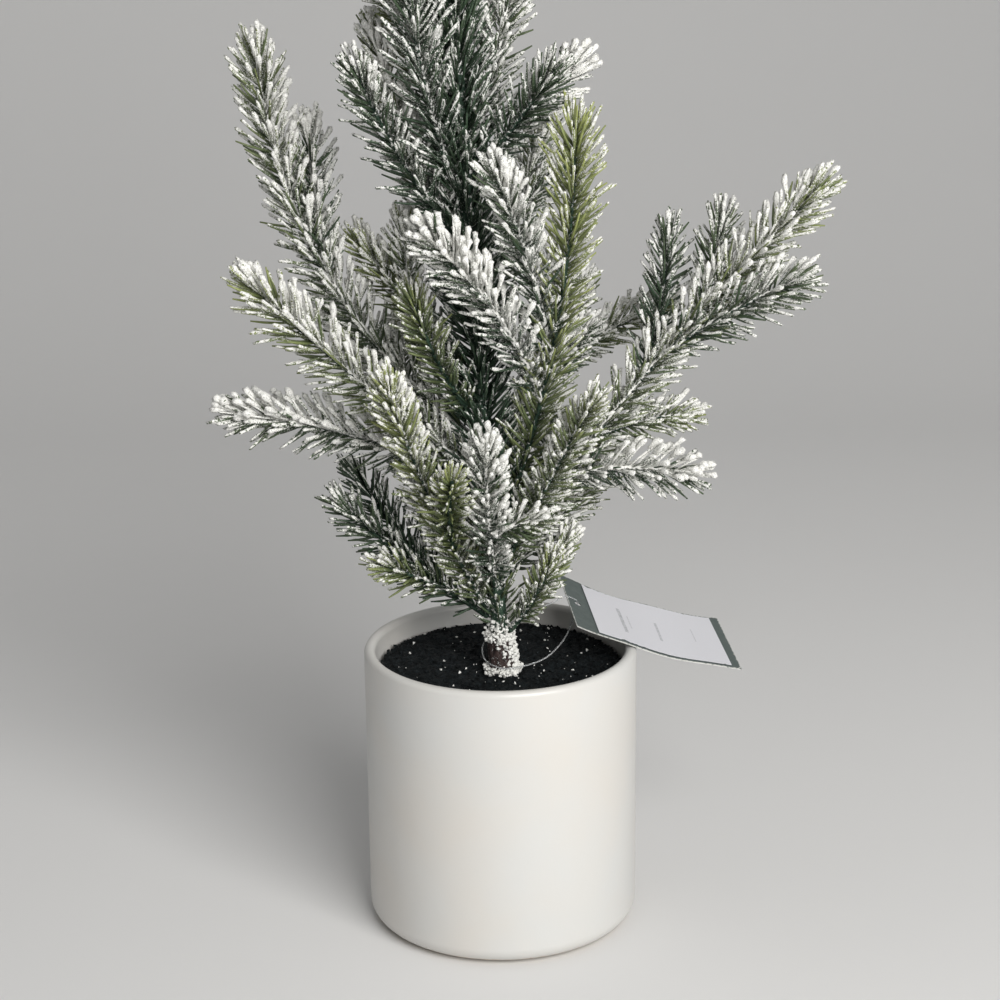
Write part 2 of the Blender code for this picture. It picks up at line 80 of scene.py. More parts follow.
CAMERA_PLACE = (0.0007, -1.0747, 0.5376)
CAMERA_DOWN = 0.2936
CAMERA_ROLL = -0.0115

# Branch: tip (right, back, up above the soil, mm), bow, sprigs.  Each sprig after the main one has
# its place on the branch and its tip.  LOOKS holds (frost, fresh green, needle size) sprig by sprig.
BRANCHES = {
    "low_left": ((-80, -8, 87), -0.04, [(0.26, (-72, 14, 97)), (0.18, (-60, -28, 60))]),
    "low_right": ((26, -21, 64), -0.12, [(0.32, (36, 2, 66))]),
    "front_left": ((-52, -46, 156), -0.06, [(0.28, (-20, -66, 112))]),
    "front_frost": ((-6, -50, 127), -0.14, [(0.40, (25, -42, 84))]),
    "left_middle": ((-131, 0, 125), 0.10, []),
    "left_raised": ((-117, -20, 196), -0.03, []),
    "left_tall": ((-110, 26, 298), -0.24, [(0.46, (-87, 36, 260))]),
    "left_behind": ((-68, 30, 206), -0.04, [(0.42, (-42, 22, 217))]),
    "middle_left": ((-40, -30, 192), -0.10, []),
    "front_tall": ((36, -26, 270), -0.10, [(0.42, (-3, -42, 250)), (0.32, (-34, -54, 222))]),
    "right_spread": ((154, 0, 233), 0.05, [(0.20, (96, -22, 97)), (0.30, (97, 14, 118)),
        (0.45, (82, 30, 210)), (0.52, (144, -22, 193)), (0.62, (107, 28, 217))]),
    "right_front": ((46, -44, 146), 0.00, []),
    "upper_left": ((-64, -16, 293), -0.08, [(0.26, (-56, 28, 306))]),
    "upper_right": ((30, -18, 291), -0.04, [(0.34, (43, 20, 288))]),
    "top_front": ((-40, -18, 384), -0.10, []),
    "top_right": ((14, 14, 372), -0.06, [(0.40, (26, 36, 350))]),
    "top_left": ((-62, 22, 372), -0.08, [(0.40, (-32, 44, 388))]),
    "back_low_left": ((-48, 60, 90), -0.06, [(0.30, (-16, 70, 78))]),
    "back_low_right": ((58, 50, 92), -0.04, [(0.32, (24, 68, 112))]),
    "back_middle_left": ((-86, 60, 170), -0.04, [(0.40, (-48, 76, 156))]),
    "back_middle_right": ((46, 78, 174), -0.06, [(0.36, (47, 34, 160)), (0.50, (88, 58, 164))]),
    "back_high_left": ((-42, 66, 264), -0.10, [(0.40, (-12, 70, 240))]),
    "back_high_right": ((26, 66, 268), -0.10, [(0.42, (38, 54, 236))]),
}
LOOKS = {
    "low_left": [(0.35, 0.10, 1.0), (0.25, 0.05, 1.0), (0.45, 0.55, 1.0)],
    "low_right": [(0.50, 0.55, 0.78), (0.55, 0.45, 0.85)],
    "front_left": [(0.60, 0.80, 1.0), (0.36, 0.70, 1.0)],
    "front_frost": [(0.85, 0.10, 1.05), (0.70, 0.30, 1.0)],
    "left_middle": [(0.85, 0.15, 1.15)],
    "left_raised": [(0.70, 0.60, 1.30)],
    "left_tall": [(0.72, 0.35, 1.25), (0.78, 0.15, 1.05)],
    "left_behind": [(0.50, 0.60, 1.0), (0.75, 0.35, 1.0)],
    "middle_left": [(0.35, 0.50, 1.0)],
    "front_tall": [(0.38, 0.85, 1.28), (0.74, 0.10, 1.15), (0.92, 0.10, 1.22)],
    "right_spread": [(0.68, 0.50, 1.20), (1.00, 0.10, 1.15), (0.55, 0.50, 1.0), (0.40, 0.10, 1.0),
        (0.62, 0.15, 1.25), (0.50, 0.20, 1.05)],
    "right_front": [(0.60, 0.50, 1.0)],
    "upper_left": [(0.50, 0.10, 1.1), (0.75, 0.40, 1.0)],
    "upper_right": [(0.45, 0.10, 1.1), (1.00, 0.10, 1.05)],
    "top_front": [(0.65, 0.10, 1.50)],
    "top_right": [(0.80, 0.25, 1.1), (0.85, 0.15, 1.0)],
    "top_left": [(0.70, 0.60, 1.1), (0.75, 0.30, 1.0)],
    "back_low_left": [(0.50, 0.20, 1.0), (0.60, 0.45, 1.0)],
    "back_low_right": [(0.60, 0.40, 1.0), (0.45, 0.15, 1.0)],
    "back_middle_left": [(0.70, 0.20, 1.0), (0.55, 0.50, 1.0)],
    "back_middle_right": [(0.55, 0.35, 1.0), (0.70, 0.10, 1.0), (0.65, 0.45, 1.0)],
    "back_high_left": [(0.50, 0.15, 1.0), (0.70, 0.15, 1.0)],
    "back_high_right": [(0.60, 0.30, 1.0), (0.50, 0.15, 1.0)],
}
LEADER_SIDES = [(0.06, (-44, 4, 418)), (0.12, (-22, 38, 426)), (0.20, (0, -16, 430)),
                (0.36, (-6, 20, 446))]
LEADER_LOOKS = [(0.55, 0.15, 1.05), (0.65, 0.10, 1.0), (0.55, 0.20, 1.0), (0.60, 0.10, 1.0),
                (0.50, 0.25, 1.0)]


# ---------------------------------------------------------------- sizes and colours

def length_property(name, description, default, low=0.0, high=2.0):
    return bpy.props.FloatProperty(name=name, description=description, default=default, min=low,
                                   max=high, subtype="DISTANCE", unit="LENGTH", precision=5)


def colour_property(name, description, default):
    return bpy.props.FloatVectorProperty(name=name, description=description, default=default, size=3,
                                         min=0.0, max=1.0, subtype="COLOR")


def share_property(name, description, default, high=1.0):
    return bpy.props.FloatProperty(name=name, description=description, default=default, min=0.0,
                                   max=high, subtype="FACTOR")


POT_LOW, POT_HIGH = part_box("pot")


class PineNeedles(bpy.types.PropertyGroup):
    length: length_property("Needle length", "Length of a needle halfway along a sprig", 0.0152)
    thickness: length_property("Needle thickness", "Width of a needle at its thickest", 0.00125)
    twig: length_property("Twig thickness", "Width of the twig that carries the needles", 0.0030)
    per_metre: bpy.props.IntProperty(name="Needles per metre", default=2250, min=100, max=5000,
                                     description="How many needles stand on a metre of twig")
    spread: bpy.props.FloatProperty(name="Spread", default=math.radians(56.0), min=0.1, max=1.5,
                                    subtype="ANGLE",
                                    description="Lean of the needles at the foot of a sprig")
    frost: share_property("Frost", "How much of the snow coating each needle carries", 1.25, 2.0)
    frost_ball: length_property("Frost thickness", "Radius of the heaviest lump of frost", 0.00200)
    dark: colour_property("Dark green", "Colour of the older needles", (0.010, 0.026, 0.017))
    middle: colour_property("Green", "Colour of most needles", (0.036, 0.070, 0.043))
    fresh: colour_property("Fresh green", "Colour of the young needles", (0.310, 0.345, 0.120))
    white: colour_property("Frost colour", "Colour of the snow coating", (0.930, 0.925, 0.885))
    seed: bpy.props.IntProperty(name="Seed", default=11, description="Chooses how the needles fall")


class PotShape(bpy.types.PropertyGroup):
    radius: length_property("Radius", "Outer radius of the pot", POT_HIGH.x)
    height: length_property("Height", "Height of the rim above the table", POT_HIGH.z)
    wall: length_property("Wall", "Thickness of the wall", 0.0055)
    foot: length_property("Foot", "Height of the foot above the table", POT_LOW.z)
    foot_round: length_property("Foot rounding", "Radius of the rounded lower edge", 0.0085)
    pad_radius: length_property("Recess radius", "Radius of the recess under the pot", 0.0503)
    glaze: colour_property("Glaze", "Colour of the satin glaze", (0.635, 0.627, 0.598))
    bisque: colour_property("Bare clay", "Colour of the unglazed foot", (0.56, 0.49, 0.40))


class SoilBed(bpy.types.PropertyGroup):
    radius: length_property("Radius", "Radius of the bed of grit", 0.0585)
    grains: bpy.props.IntProperty(name="Grains", default=1900, min=0, max=6000,
                                  description="How many loose grains lie on the bed")
    specks: bpy.props.IntProperty(name="Frost specks", default=120, min=0, max=2000,
                                  description="How many crumbs of frost have fallen on the bed")
    dark: colour_property("Grit", "Colour of the grit", (0.0024, 0.0036, 0.0042))
    light: colour_property("Dusty grit", "Colour of the paler grains", (0.0135, 0.0180, 0.0200))


class HangTag(bpy.types.PropertyGroup):
    length: length_property("Length", "Length of the card", 0.088)
    width: length_property("Width", "Width of the card", 0.052)
    thickness: length_property("Thickness", "Thickness of the card", 0.0005)
    sag: length_property("Curl", "How far the middle lies below the ends", 0.0035)
    hole: length_property("Hole", "Radius of the punched hole", 0.0018)
    card: colour_property("Card", "Colour of the printed card", (0.085, 0.105, 0.100))
    label: colour_property("Label", "Colour of the label stuck on it", (0.70, 0.70, 0.735))


class Studio(bpy.types.PropertyGroup):
    floor: colour_property("Floor", "Colour of the floor and backdrop", (0.76, 0.755, 0.745))
    key: bpy.props.FloatProperty(name="Key light", default=40.0, min=0.0, unit="POWER",
                                 description="Power of the large soft light")
    fill: bpy.props.FloatProperty(name="Fill light", default=0.3, min=0.0, unit="POWER",
                                  description="Power of the weak light on the other side")
    backdrop: bpy.props.FloatProperty(name="Backdrop light", default=5.0, min=0.0, unit="POWER",
                                      description="Power of the soft light on the backdrop")
    air: bpy.props.FloatProperty(name="Room light", default=0.16, min=0.0,
                                 description="Strength of the even light from all round")
    lens: bpy.props.FloatProperty(name="Lens", default=84.9, min=1.0,
                                  description="Focal length in millimetres")


# ---------------------------------------------------------------- modelling helpers

def let_go():
    """Object mode, with nothing selected."""
    if bpy.context.mode != "OBJECT":
        bpy.ops.object.mode_set(mode="OBJECT")
    bpy.ops.object.select_all(action="DESELECT")


def choose(obj):
    """Object mode, with this object alone selected and active."""
    let_go()
    obj.select_set(True)
    bpy.context.view_layer.objects.active = obj


def started(name):
    """The primitive just added, under its own name."""
    obj = bpy.context.active_object
    obj.name = name
    obj.data.name = name
    return obj


def pick(obj, kind, test):
    """In edit mode, selects the vertices, edges or faces whose place and normal pass the test."""
    bpy.ops.object.mode_set(mode="OBJECT")
    mesh = obj.data
    bpy.context.tool_settings.mesh_select_mode = (kind == "VERT", kind == "EDGE", kind == "FACE")
    for group in (mesh.vertices, mesh.edges, mesh.polygons):
        group.foreach_set("select", [False] * len(group))
    if kind == "VERT":
        for vert in mesh.vertices:
            vert.select = bool(test(vert.co, vert.normal))
    elif kind == "EDGE":
        for edge in mesh.edges:
            first, second = (mesh.vertices[index].co for index in edge.vertices)
            edge.select = bool(test(first, second))
    else:
        for face in mesh.polygons:
            face.select = bool(test(face.center, face.normal))
    bpy.ops.object.mode_set(mode="EDIT")


def settle(obj):
    """Applies the object's place, turn and scale, and leaves it at the origin."""
    choose(obj)
    bpy.ops.object.transform_apply(location=True, rotation=True, scale=True)


def apply_modifier(obj, kind, name, **values):
    modifier = obj.modifiers.new(name, kind)
    for key, value in values.items():
        setattr(modifier, key, value)
    choose(obj)
    bpy.ops.object.modifier_apply(modifier=name)


def soft_shading(obj, angle=40.0):
    choose(obj)
    bpy.ops.object.shade_smooth_by_angle(angle=math.radians(angle))


class Shape:
    """Vertices, faces and corner places of a modelled shape, ready to be copied many times."""

    def __init__(self, obj):
        mesh = obj.data
        self.points = np.empty(len(mesh.vertices) * 3, np.float64)
        mesh.vertices.foreach_get("co", self.points)
        self.points = self.points.reshape(-1, 3)
        self.corners = np.empty(len(mesh.loops), np.int32)
        mesh.loops.foreach_get("vertex_index", self.corners)
        self.starts = np.empty(len(mesh.polygons), np.int32)
        mesh.polygons.foreach_get("loop_start", self.starts)
        self.map = self.wrapped()
        bpy.data.objects.remove(obj, do_unlink=True)

    def wrapped(self):
        """A map of the shape as a label rolled round its length, without a torn seam."""
        low, high = self.points[:, 2].min(), self.points[:, 2].max()
        round_ = np.arctan2(self.points[:, 1], self.points[:, 0])[self.corners] / (2 * math.pi) + 0.5
        along = (0.06 + 0.88 * (self.points[:, 2] - low) / (high - low))[self.corners]
        flat = self.points[self.corners, :2]
        ends = np.append(self.starts[1:], len(self.corners))
        for first, last in zip(self.starts, ends):
            here, level = round_[first:last], along[first:last]
            if np.ptp(level) < 1e-6 and (level[0] < 0.061 or level[0] > 0.939):
                # an end cap gets its own small strip beyond the sides
                cap = flat[first:last] / (np.abs(flat[first:last]).max() + 1e-9)
                here[:] = 0.8 + 0.5 * cap[:, 0]
                level[:] = (0.03 if level[0] < 0.5 else 0.97) + 0.025 * cap[:, 1]
            elif here.max() - here.min() > 0.5:
                here[here < 0.5] += 1.0
        return np.stack([round_ / 1.6, along], axis=1)


class Heap:
    """Gathers many copies of shapes into one mesh, with their attributes and their map."""

    ATTRIBUTES = ("frost", "fresh", "along", "tone")

    def __init__(self):
        self.points, self.corners, self.starts, self.maps, self.wears = [], [], [], [], []
        self.attributes = {name: [] for name in self.ATTRIBUTES}
        self.vertex_count = self.corner_count = 0

    def add(self, shape, placed, cells, wears, **attributes):
        """placed: copies x vertices x 3.  cells: copies x (left, low, width, height) in the map."""
        copies, size = placed.shape[:2]
        if copies == 0:
            return
        shift = np.arange(copies)[:, None]
        self.points.append(placed.reshape(-1, 3))
        self.corners.append((shape.corners[None] + shift * size + self.vertex_count).ravel())
        self.starts.append((shape.starts[None] + shift * len(shape.corners) + self.corner_count).ravel())
        self.maps.append((cells[:, None, :2] + shape.map[None] * cells[:, None, 2:]).reshape(-1, 2))
        self.wears.append(np.full(copies * len(shape.starts), wears, np.int32))
        for name in self.ATTRIBUTES:
            value = np.broadcast_to(attributes.get(name, np.zeros((1, 1))), (copies, size))
            self.attributes[name].append(value.reshape(-1))
        self.vertex_count += copies * size
        self.corner_count += copies * len(shape.corners)

    def finish(self, name, materials):
        mesh = bpy.data.meshes.new(name)
        points = np.concatenate(self.points).astype(np.float32)
        corners = np.concatenate(self.corners).astype(np.int32)
        starts = np.concatenate(self.starts).astype(np.int32)
        mesh.vertices.add(len(points))
        mesh.vertices.foreach_set("co", points.ravel())
        mesh.loops.add(len(corners))
        mesh.loops.foreach_set("vertex_index", corners)
        mesh.polygons.add(len(starts))
        mesh.polygons.foreach_set("loop_start", starts)
        mesh.polygons.foreach_set("material_index", np.concatenate(self.wears))
        mesh.polygons.foreach_set("use_smooth", np.ones(len(starts), bool))
        mesh.update(calc_edges=True)
        layer = mesh.uv_layers.new(name="OFBake")
        layer.uv.foreach_set("vector", np.concatenate(self.maps).astype(np.float32).ravel())
        for key, values in self.attributes.items():
            attribute = mesh.attributes.new(key, "FLOAT", "POINT")
            attribute.data.foreach_set("value", np.concatenate(values).astype(np.float32))
        if mesh.validate():
            raise RuntimeError(f"{name} is not a sound mesh")
        for material in materials:
            mesh.materials.append(material)
        obj = bpy.data.objects.new(name, mesh)
        bpy.context.scene.collection.objects.link(obj)
        return obj


def map_squares(numbers, across):
    """Cells of a map split into across by across squares, one for each number."""
    side = np.full(len(numbers), 0.9 / across)
    return np.stack([numbers % across / across, numbers // across / across, side, side], axis=1)


def unit(vectors):
    return vectors / np.maximum(np.linalg.norm(vectors, axis=-1, keepdims=True), 1e-12)


# ---------------------------------------------------------------- materials

class Finish:
    """A node material under construction."""

    def __init__(self, name, **constants):
        self.material = bpy.data.materials.new(name)
        self.material.use_nodes = True
        self.tree = self.material.node_tree
        self.shader = self.tree.nodes["Principled BSDF"]
        for key, value in constants.items():
            socket = self.shader.inputs[key.replace("_", " ")]
            socket.default_value = (*value, 1.0) if isinstance(value, tuple) else value
        self.place = self.tree.nodes.new("ShaderNodeTexCoord").outputs["Object"]

    def node(self, kind, links=(), **values):
        node = self.tree.nodes.new(kind)
        for key, value in values.items():
            setattr(node, key, value)
        for socket, source in dict(links).items():
            if isinstance(source, bpy.types.NodeSocket):
                self.tree.links.new(source, node.inputs[socket])
            else:
                node.inputs[socket].default_value = source
        return node

    def noise(self, scale, detail=3.0, rough=0.55, distortion=0.0, place=None):
        links = {"Vector": place or self.place, "Scale": scale, "Detail": detail,
                 "Roughness": rough, "Distortion": distortion}
        return self.node("ShaderNodeTexNoise", links).outputs["Fac"]

    def cells(self, scale):
        links = {"Vector": self.place, "Scale": scale}
        return self.node("ShaderNodeTexVoronoi", links).outputs["Distance"]

    def between(self, value, low, high, to_low=0.0, to_high=1.0):
        links = {0: value, 1: low, 2: high, 3: to_low, 4: to_high}
        return self.node("ShaderNodeMapRange", links, clamp=True).outputs[0]

    def sum(self, operation, first, second):
        return self.node("ShaderNodeMath", {0: first, 1: second}, operation=operation).outputs[0]

    def blend(self, share, first, second):
        first, second = ((*c, 1.0) if isinstance(c, tuple) and len(c) == 3 else c for c in (first, second))
        return self.node("ShaderNodeMix", {0: share, 6: first, 7: second}, data_type="RGBA").outputs[2]

    def attribute(self, name):
        return self.node("ShaderNodeAttribute", attribute_name=name).outputs["Fac"]

    def height(self):
        return self.node("ShaderNodeSeparateXYZ", {0: self.place}).outputs["Z"]

    def wear(self, name, source):
        self.tree.links.new(source, self.shader.inputs[name])

    def bump(self, height, strength=0.5, distance=0.0005, under=None):
        links = {"Height": height, "Strength": strength, "Distance": distance}
        if under:
            links["Normal"] = under
        result = self.node("ShaderNodeBump", links).outputs["Normal"]
        self.wear("Normal", result)
        return result


def needle_material(needles):
    """Moulded plastic needles: deep green, paler and yellower when young, dusted with frost."""
    finish = Finish("moulded_needle", Roughness=0.55, Specular_IOR_Level=0.4)
    mottle = finish.noise(260.0, 3.0)
    tone = finish.sum("ADD", finish.attribute("tone"), finish.between(mottle, 0.35, 0.65, -0.25, 0.25))
    green = finish.blend(tone, tuple(needles.dark), tuple(needles.middle))
    young = finish.sum("MULTIPLY", finish.attribute("fresh"),
                       finish.between(finish.attribute("along"), 0.0, 0.9, 0.55, 1.1))
    green = finish.blend(young, green, tuple(needles.fresh))
    dust = finish.sum("ADD", finish.noise(1500.0, 2.0, 0.6), finish.between(
        finish.attribute("frost"), 0.0, 1.0, -0.20, 0.17))
    dusted = finish.between(dust, 0.50, 0.60)
    finish.wear("Base Color", finish.blend(dusted, green, tuple(needles.white)))
    finish.wear("Roughness", finish.between(dusted, 0.0, 1.0, 0.45, 0.95))
    finish.bump(finish.sum("ADD", dusted, finish.noise(2600.0, 2.0)), 0.45, 0.0003)
    return finish.material


def frost_material(needles):
    """Flocked snow: off-white, crumbly, with painted grey shade in its hollows and a little green showing
    through.
    """
    finish = Finish("flocked_frost", Roughness=0.95, Specular_IOR_Level=0.15)
    crumb_and_shade = finish.noise(1300.0, 4.0, 0.65)
    pits = finish.cells(1500.0)
    white = tuple(needles.white)
    # painted shade: the white is darkened to grey where the crumb noise is low, standing in for shade in the
    # hollows; the same noise also gives the crumbly bump
    shade = tuple(value * 0.55 for value in white)
    colour = finish.blend(finish.between(crumb_and_shade, 0.34, 0.52), shade, white)
    worn = finish.sum("ADD", finish.noise(700.0, 3.0, 0.6, 0.4), finish.between(
        finish.attribute("frost"), 0.1, 1.0, 0.05, -0.12))
    bare = finish.between(worn, 0.53, 0.60)
    leaf = finish.blend(finish.attribute("fresh"), tuple(needles.middle), tuple(needles.fresh))
    finish.wear("Base Color", finish.blend(bare, colour, leaf))
    finish.bump(finish.sum("SUBTRACT", crumb_and_shade, finish.sum("MULTIPLY", pits, 0.6)), 0.8, 0.0006)
    return finish.material


def twig_material(needles):
    """The twig under the needles: dark green with streaks of frost along its upper side."""
    finish = Finish("twig", Roughness=0.8, Specular_IOR_Level=0.25)
    bark = finish.blend(finish.between(finish.noise(400.0, 4.0), 0.4, 0.6),
                        tuple(v * 0.8 for v in needles.dark), tuple(needles.middle))
    snow = finish.sum("ADD", finish.noise(500.0, 4.0, 0.7), finish.between(
        finish.attribute("frost"), 0.0, 1.0, -0.25, 0.25))
    snow = finish.between(snow, 0.50, 0.58)
    finish.wear("Base Color", finish.blend(snow, bark, tuple(needles.white)))
    finish.bump(finish.sum("ADD", snow, finish.noise(1200.0, 3.0)), 0.7, 0.0006)
    return finish.material


def glaze_material(pot):
    """Satin white glaze over clay: faint clouding, slight orange peel, bare foot."""
    finish = Finish("satin_glaze", Specular_IOR_Level=0.5, Coat_Weight=0.12, Coat_Roughness=0.2)
    glaze = tuple(pot.glaze)
    warm = (glaze[0], glaze[1] * 0.975, glaze[2] * 0.955)
    cool = (glaze[0] * 0.975, glaze[1] * 0.985, glaze[2])
    cloud = finish.noise(16.0, 3.0, 0.5, 0.3)
    colour = finish.blend(finish.between(cloud, 0.35, 0.65), warm, cool)
    pinholes = finish.between(finish.cells(210.0), 0.0, 0.045, 1.0, 0.0)
    rare = finish.between(finish.noise(60.0, 1.0), 0.60, 0.64)
    pinholes = finish.sum("MULTIPLY", pinholes, rare)
    colour = finish.blend(finish.sum("MULTIPLY", pinholes, 0.45), colour, (0.42, 0.37, 0.30))
    wander = finish.between(finish.noise(180.0, 2.0), 0.3, 0.7, -0.0006, 0.0006)
    edge = finish.sum("ADD", finish.height(), wander)
    glazed = finish.between(edge, pot.foot + 0.0014, pot.foot + 0.0022)
    colour = finish.blend(glazed, tuple(pot.bisque), colour)
    finish.wear("Base Color", colour)
    satin = finish.between(finish.noise(34.0, 3.0), 0.3, 0.7, 0.30, 0.42)
    finish.wear("Roughness", finish.sum("ADD", satin, finish.between(glazed, 0.0, 1.0, 0.4, 0.0)))
    peel = finish.sum("ADD", finish.noise(150.0, 2.0), finish.sum("MULTIPLY", finish.noise(22.0, 2.0), 3.0))
    finish.bump(finish.sum("SUBTRACT", peel, pinholes), 0.12, 0.0006)
    return finish.material


def grit_material(soil):
    """Black horticultural grit with duller, dusty faces."""
    finish = Finish("black_grit", Specular_IOR_Level=0.18)
    colour = finish.blend(finish.between(finish.noise(420.0, 4.0, 0.65), 0.42, 0.68),
                          tuple(soil.dark), tuple(soil.light))
    finish.wear("Base Color", colour)
    finish.wear("Roughness", finish.between(finish.noise(700.0, 2.0), 0.3, 0.7, 0.55, 0.95))
    finish.bump(finish.noise(1400.0, 4.0, 0.7), 0.9, 0.0006)
    return finish.material


def card_material(tag):
    """Coated card, printed grey-green, scuffed paler along its cut edges."""
    finish = Finish("printed_card", Specular_IOR_Level=0.35)
    ink = finish.blend(finish.noise(90.0, 2.0), tuple(tag.card), tuple(v * 1.18 for v in tag.card))
    fibre = finish.between(finish.noise(2200.0, 3.0), 0.62, 0.72)
    ink = finish.blend(finish.sum("MULTIPLY", fibre, 0.25), ink, (0.36, 0.38, 0.37))
    edge = finish.attribute("edge")
    scuff = finish.between(finish.sum("ADD", edge, finish.noise(800.0, 3.0)), 1.25, 1.45)
    finish.wear("Base Color", finish.blend(scuff, ink, (0.60, 0.60, 0.57)))
    finish.wear("Roughness", finish.between(finish.noise(300.0, 3.0), 0.3, 0.7, 0.42, 0.62))
    finish.bump(finish.noise(1100.0, 3.0), 0.15, 0.0002)
    return finish.material


def label_material(tag):
    """A pale paper label with a few faint printed bars."""
    finish = Finish("paper_label", Specular_IOR_Level=0.4)
    place = finish.node("ShaderNodeUVMap", uv_map="UVMap").outputs["UV"]
    split = finish.node("ShaderNodeSeparateXYZ", {0: place}).outputs
    grain = finish.noise(1600.0, 3.0)
    paper = tuple(tag.label)
    colour = finish.blend(finish.between(grain, 0.3, 0.7), tuple(v * 0.96 for v in paper), paper)
    bars = ((0.235, 0.262, 0.22, 0.72, 0.55), (0.300, 0.310, 0.34, 0.60, 0.35),
            (0.515, 0.535, 0.26, 0.62, 0.50), (0.800, 0.808, 0.40, 0.66, 0.35))
    for left, right, low, high, share in bars:
        bar = finish.sum("MULTIPLY", finish.sum("GREATER_THAN", split[0], left),
                         finish.sum("LESS_THAN", split[0], right))
        bar = finish.sum("MULTIPLY", bar, finish.sum("MULTIPLY", finish.sum("GREATER_THAN", split[1], low),
                                                     finish.sum("LESS_THAN", split[1], high)))
        worn = finish.between(finish.noise(900.0, 2.0), 0.35, 0.6, share, share * 0.45)
        colour = finish.blend(finish.sum("MULTIPLY", bar, worn), colour, (0.16, 0.17, 0.18))
    finish.wear("Base Color", colour)
    finish.wear("Roughness", finish.between(grain, 0.3, 0.7, 0.38, 0.52))
    finish.bump(finish.noise(700.0, 3.0), 0.12, 0.0002)
    return finish.material


def bark_material():
    """Brown moulded bark sleeve with grooves along it and crumbs of frost."""
    finish = Finish("bark_sleeve", Specular_IOR_Level=0.3)
    stretch = finish.node("ShaderNodeMapping", {"Vector": finish.place, "Scale": (900.0, 900.0, 170.0)})
    groove = finish.noise(1.0, 4.0, 0.6, 0.6, place=stretch.outputs[0])
    colour = finish.blend(finish.between(groove, 0.35, 0.65), (0.012, 0.0075, 0.007), (0.062, 0.040, 0.036))
    crumbs = finish.between(finish.noise(700.0, 4.0, 0.7), 0.60, 0.66)
    finish.wear("Base Color", finish.blend(crumbs, colour, (0.66, 0.66, 0.64)))
    finish.wear("Roughness", finish.between(groove, 0.3, 0.7, 0.9, 0.6))
    finish.bump(finish.sum("ADD", groove, crumbs), 0.9, 0.0008)
    return finish.material


def tape_material(needles):
    """Waxed paper tape wound round the trunk in overlapping turns."""
    finish = Finish("floral_tape", Specular_IOR_Level=0.3)
    turns = finish.sum("FRACT", finish.sum("MULTIPLY", finish.height(), 150.0), 0.0)
    crepe = finish.noise(900.0, 4.0, 0.6)
    colour = finish.blend(finish.between(crepe, 0.35, 0.65), tuple(needles.dark), tuple(needles.middle))
    snow = finish.between(finish.noise(420.0, 4.0, 0.7), 0.55, 0.62)
    finish.wear("Base Color", finish.blend(snow, colour, tuple(needles.white)))
    finish.wear("Roughness", finish.between(crepe, 0.3, 0.7, 0.85, 0.65))
    finish.bump(finish.sum("ADD", turns, crepe), 0.6, 0.0005)
    return finish.material


def wire_material(needles):
    """Green-wrapped branch wire."""
    finish = Finish("wrapped_wire", Specular_IOR_Level=0.4)
    wrap = finish.noise(1500.0, 3.0)
    turns = finish.between(wrap, 0.35, 0.7)
    finish.wear("Base Color", finish.blend(turns, tuple(needles.dark), tuple(needles.middle)))
    finish.wear("Roughness", finish.between(wrap, 0.3, 0.7, 0.75, 0.5))
    finish.bump(wrap, 0.6, 0.0003)
    return finish.material


def plain_grain(name, dark, light, scale, rough, metallic=0.0, bump=0.5):
    """A fine-grained finish for the pieces inside and under the pot."""
    finish = Finish(name, Metallic=metallic)
    grain = finish.noise(scale, 5.0, 0.65)
    coarse = finish.between(finish.cells(scale * 0.5), 0.1, 0.6)
    finish.wear("Base Color", finish.blend(finish.between(grain, 0.35, 0.65), dark, light))
    finish.wear("Roughness", finish.between(grain, 0.3, 0.7, rough - 0.08, min(1.0, rough + 0.08)))
    finish.bump(finish.sum("ADD", grain, finish.sum("MULTIPLY", coarse, 0.5)), bump, 0.0005)
    return finish.material


def nylon_material():
    """Clear nylon of the tag's fastener, slightly cloudy."""
    finish = Finish("clear_nylon", Transmission_Weight=0.85, IOR=1.53, Specular_IOR_Level=0.5)
    cloud = finish.noise(600.0, 3.0)
    clouding = finish.between(cloud, 0.3, 0.7)
    finish.wear("Base Color", finish.blend(clouding, (0.72, 0.74, 0.75), (0.92, 0.93, 0.94)))
    finish.wear("Roughness", finish.between(cloud, 0.3, 0.7, 0.12, 0.30))
    return finish.material


def dress(node, material):
    """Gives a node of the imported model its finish."""
    slots = frame["nodes"][node].data.materials
    slots.clear()
    slots.append(material)


# ---------------------------------------------------------------- stems

def trunk_at(height):
    rise = max(0.0, height - SOIL_TOP)
    return Vector((TRUNK_FOOT[0] + TRUNK_LEAN[0] * rise,
                   TRUNK_FOOT[1] + TRUNK_LEAN[1] * rise + TRUNK_STRAIGHTENS * rise * rise, height))


def crown_point(place):
    right, back, up = (value * MM for value in place)
    return Vector((right, back, SOIL_TOP + up))


class Stem:
    """The centre line of a sprig, measured along its length."""

    def __init__(self, points):
        self.points = np.array([tuple(point) for point in points])
        steps = np.linalg.norm(np.diff(self.points, axis=0), axis=1)
        self.lengths = np.concatenate([[0.0], np.cumsum(steps)])
        self.length = self.lengths[-1]

    @classmethod
    def bent(cls, start, elbow, end):
        shares = [step / STEM_SAMPLES for step in range(STEM_SAMPLES + 1)]
        return cls([start.lerp(elbow, s).lerp(elbow.lerp(end, s), s) for s in shares])

    def at(self, distances):
        distances = np.clip(distances, 0.0, self.length)
        return np.stack([np.interp(distances, self.lengths, line) for line in self.points.T], axis=-1)

    def ahead(self, distances):
        reach = 0.002
        low = np.clip(distances - reach, 0.0, self.length - reach)
        return unit(self.at(low + reach) - self.at(low))


def joint_named(name):
    return next(joint for joint in frame["joints"] if joint["name"] == name)


def side_stem(stem, place, tip_place):
    fork = Vector(stem.at(stem.length * place))
    along = (Vector(stem.at(stem.length * (place + 0.05))) - fork).normalized()
    tip = crown_point(tip_place)
    elbow = fork + along * (tip - fork).length * 0.16 + (tip - fork) * 0.34
    return Stem.bent(fork, elbow, tip)


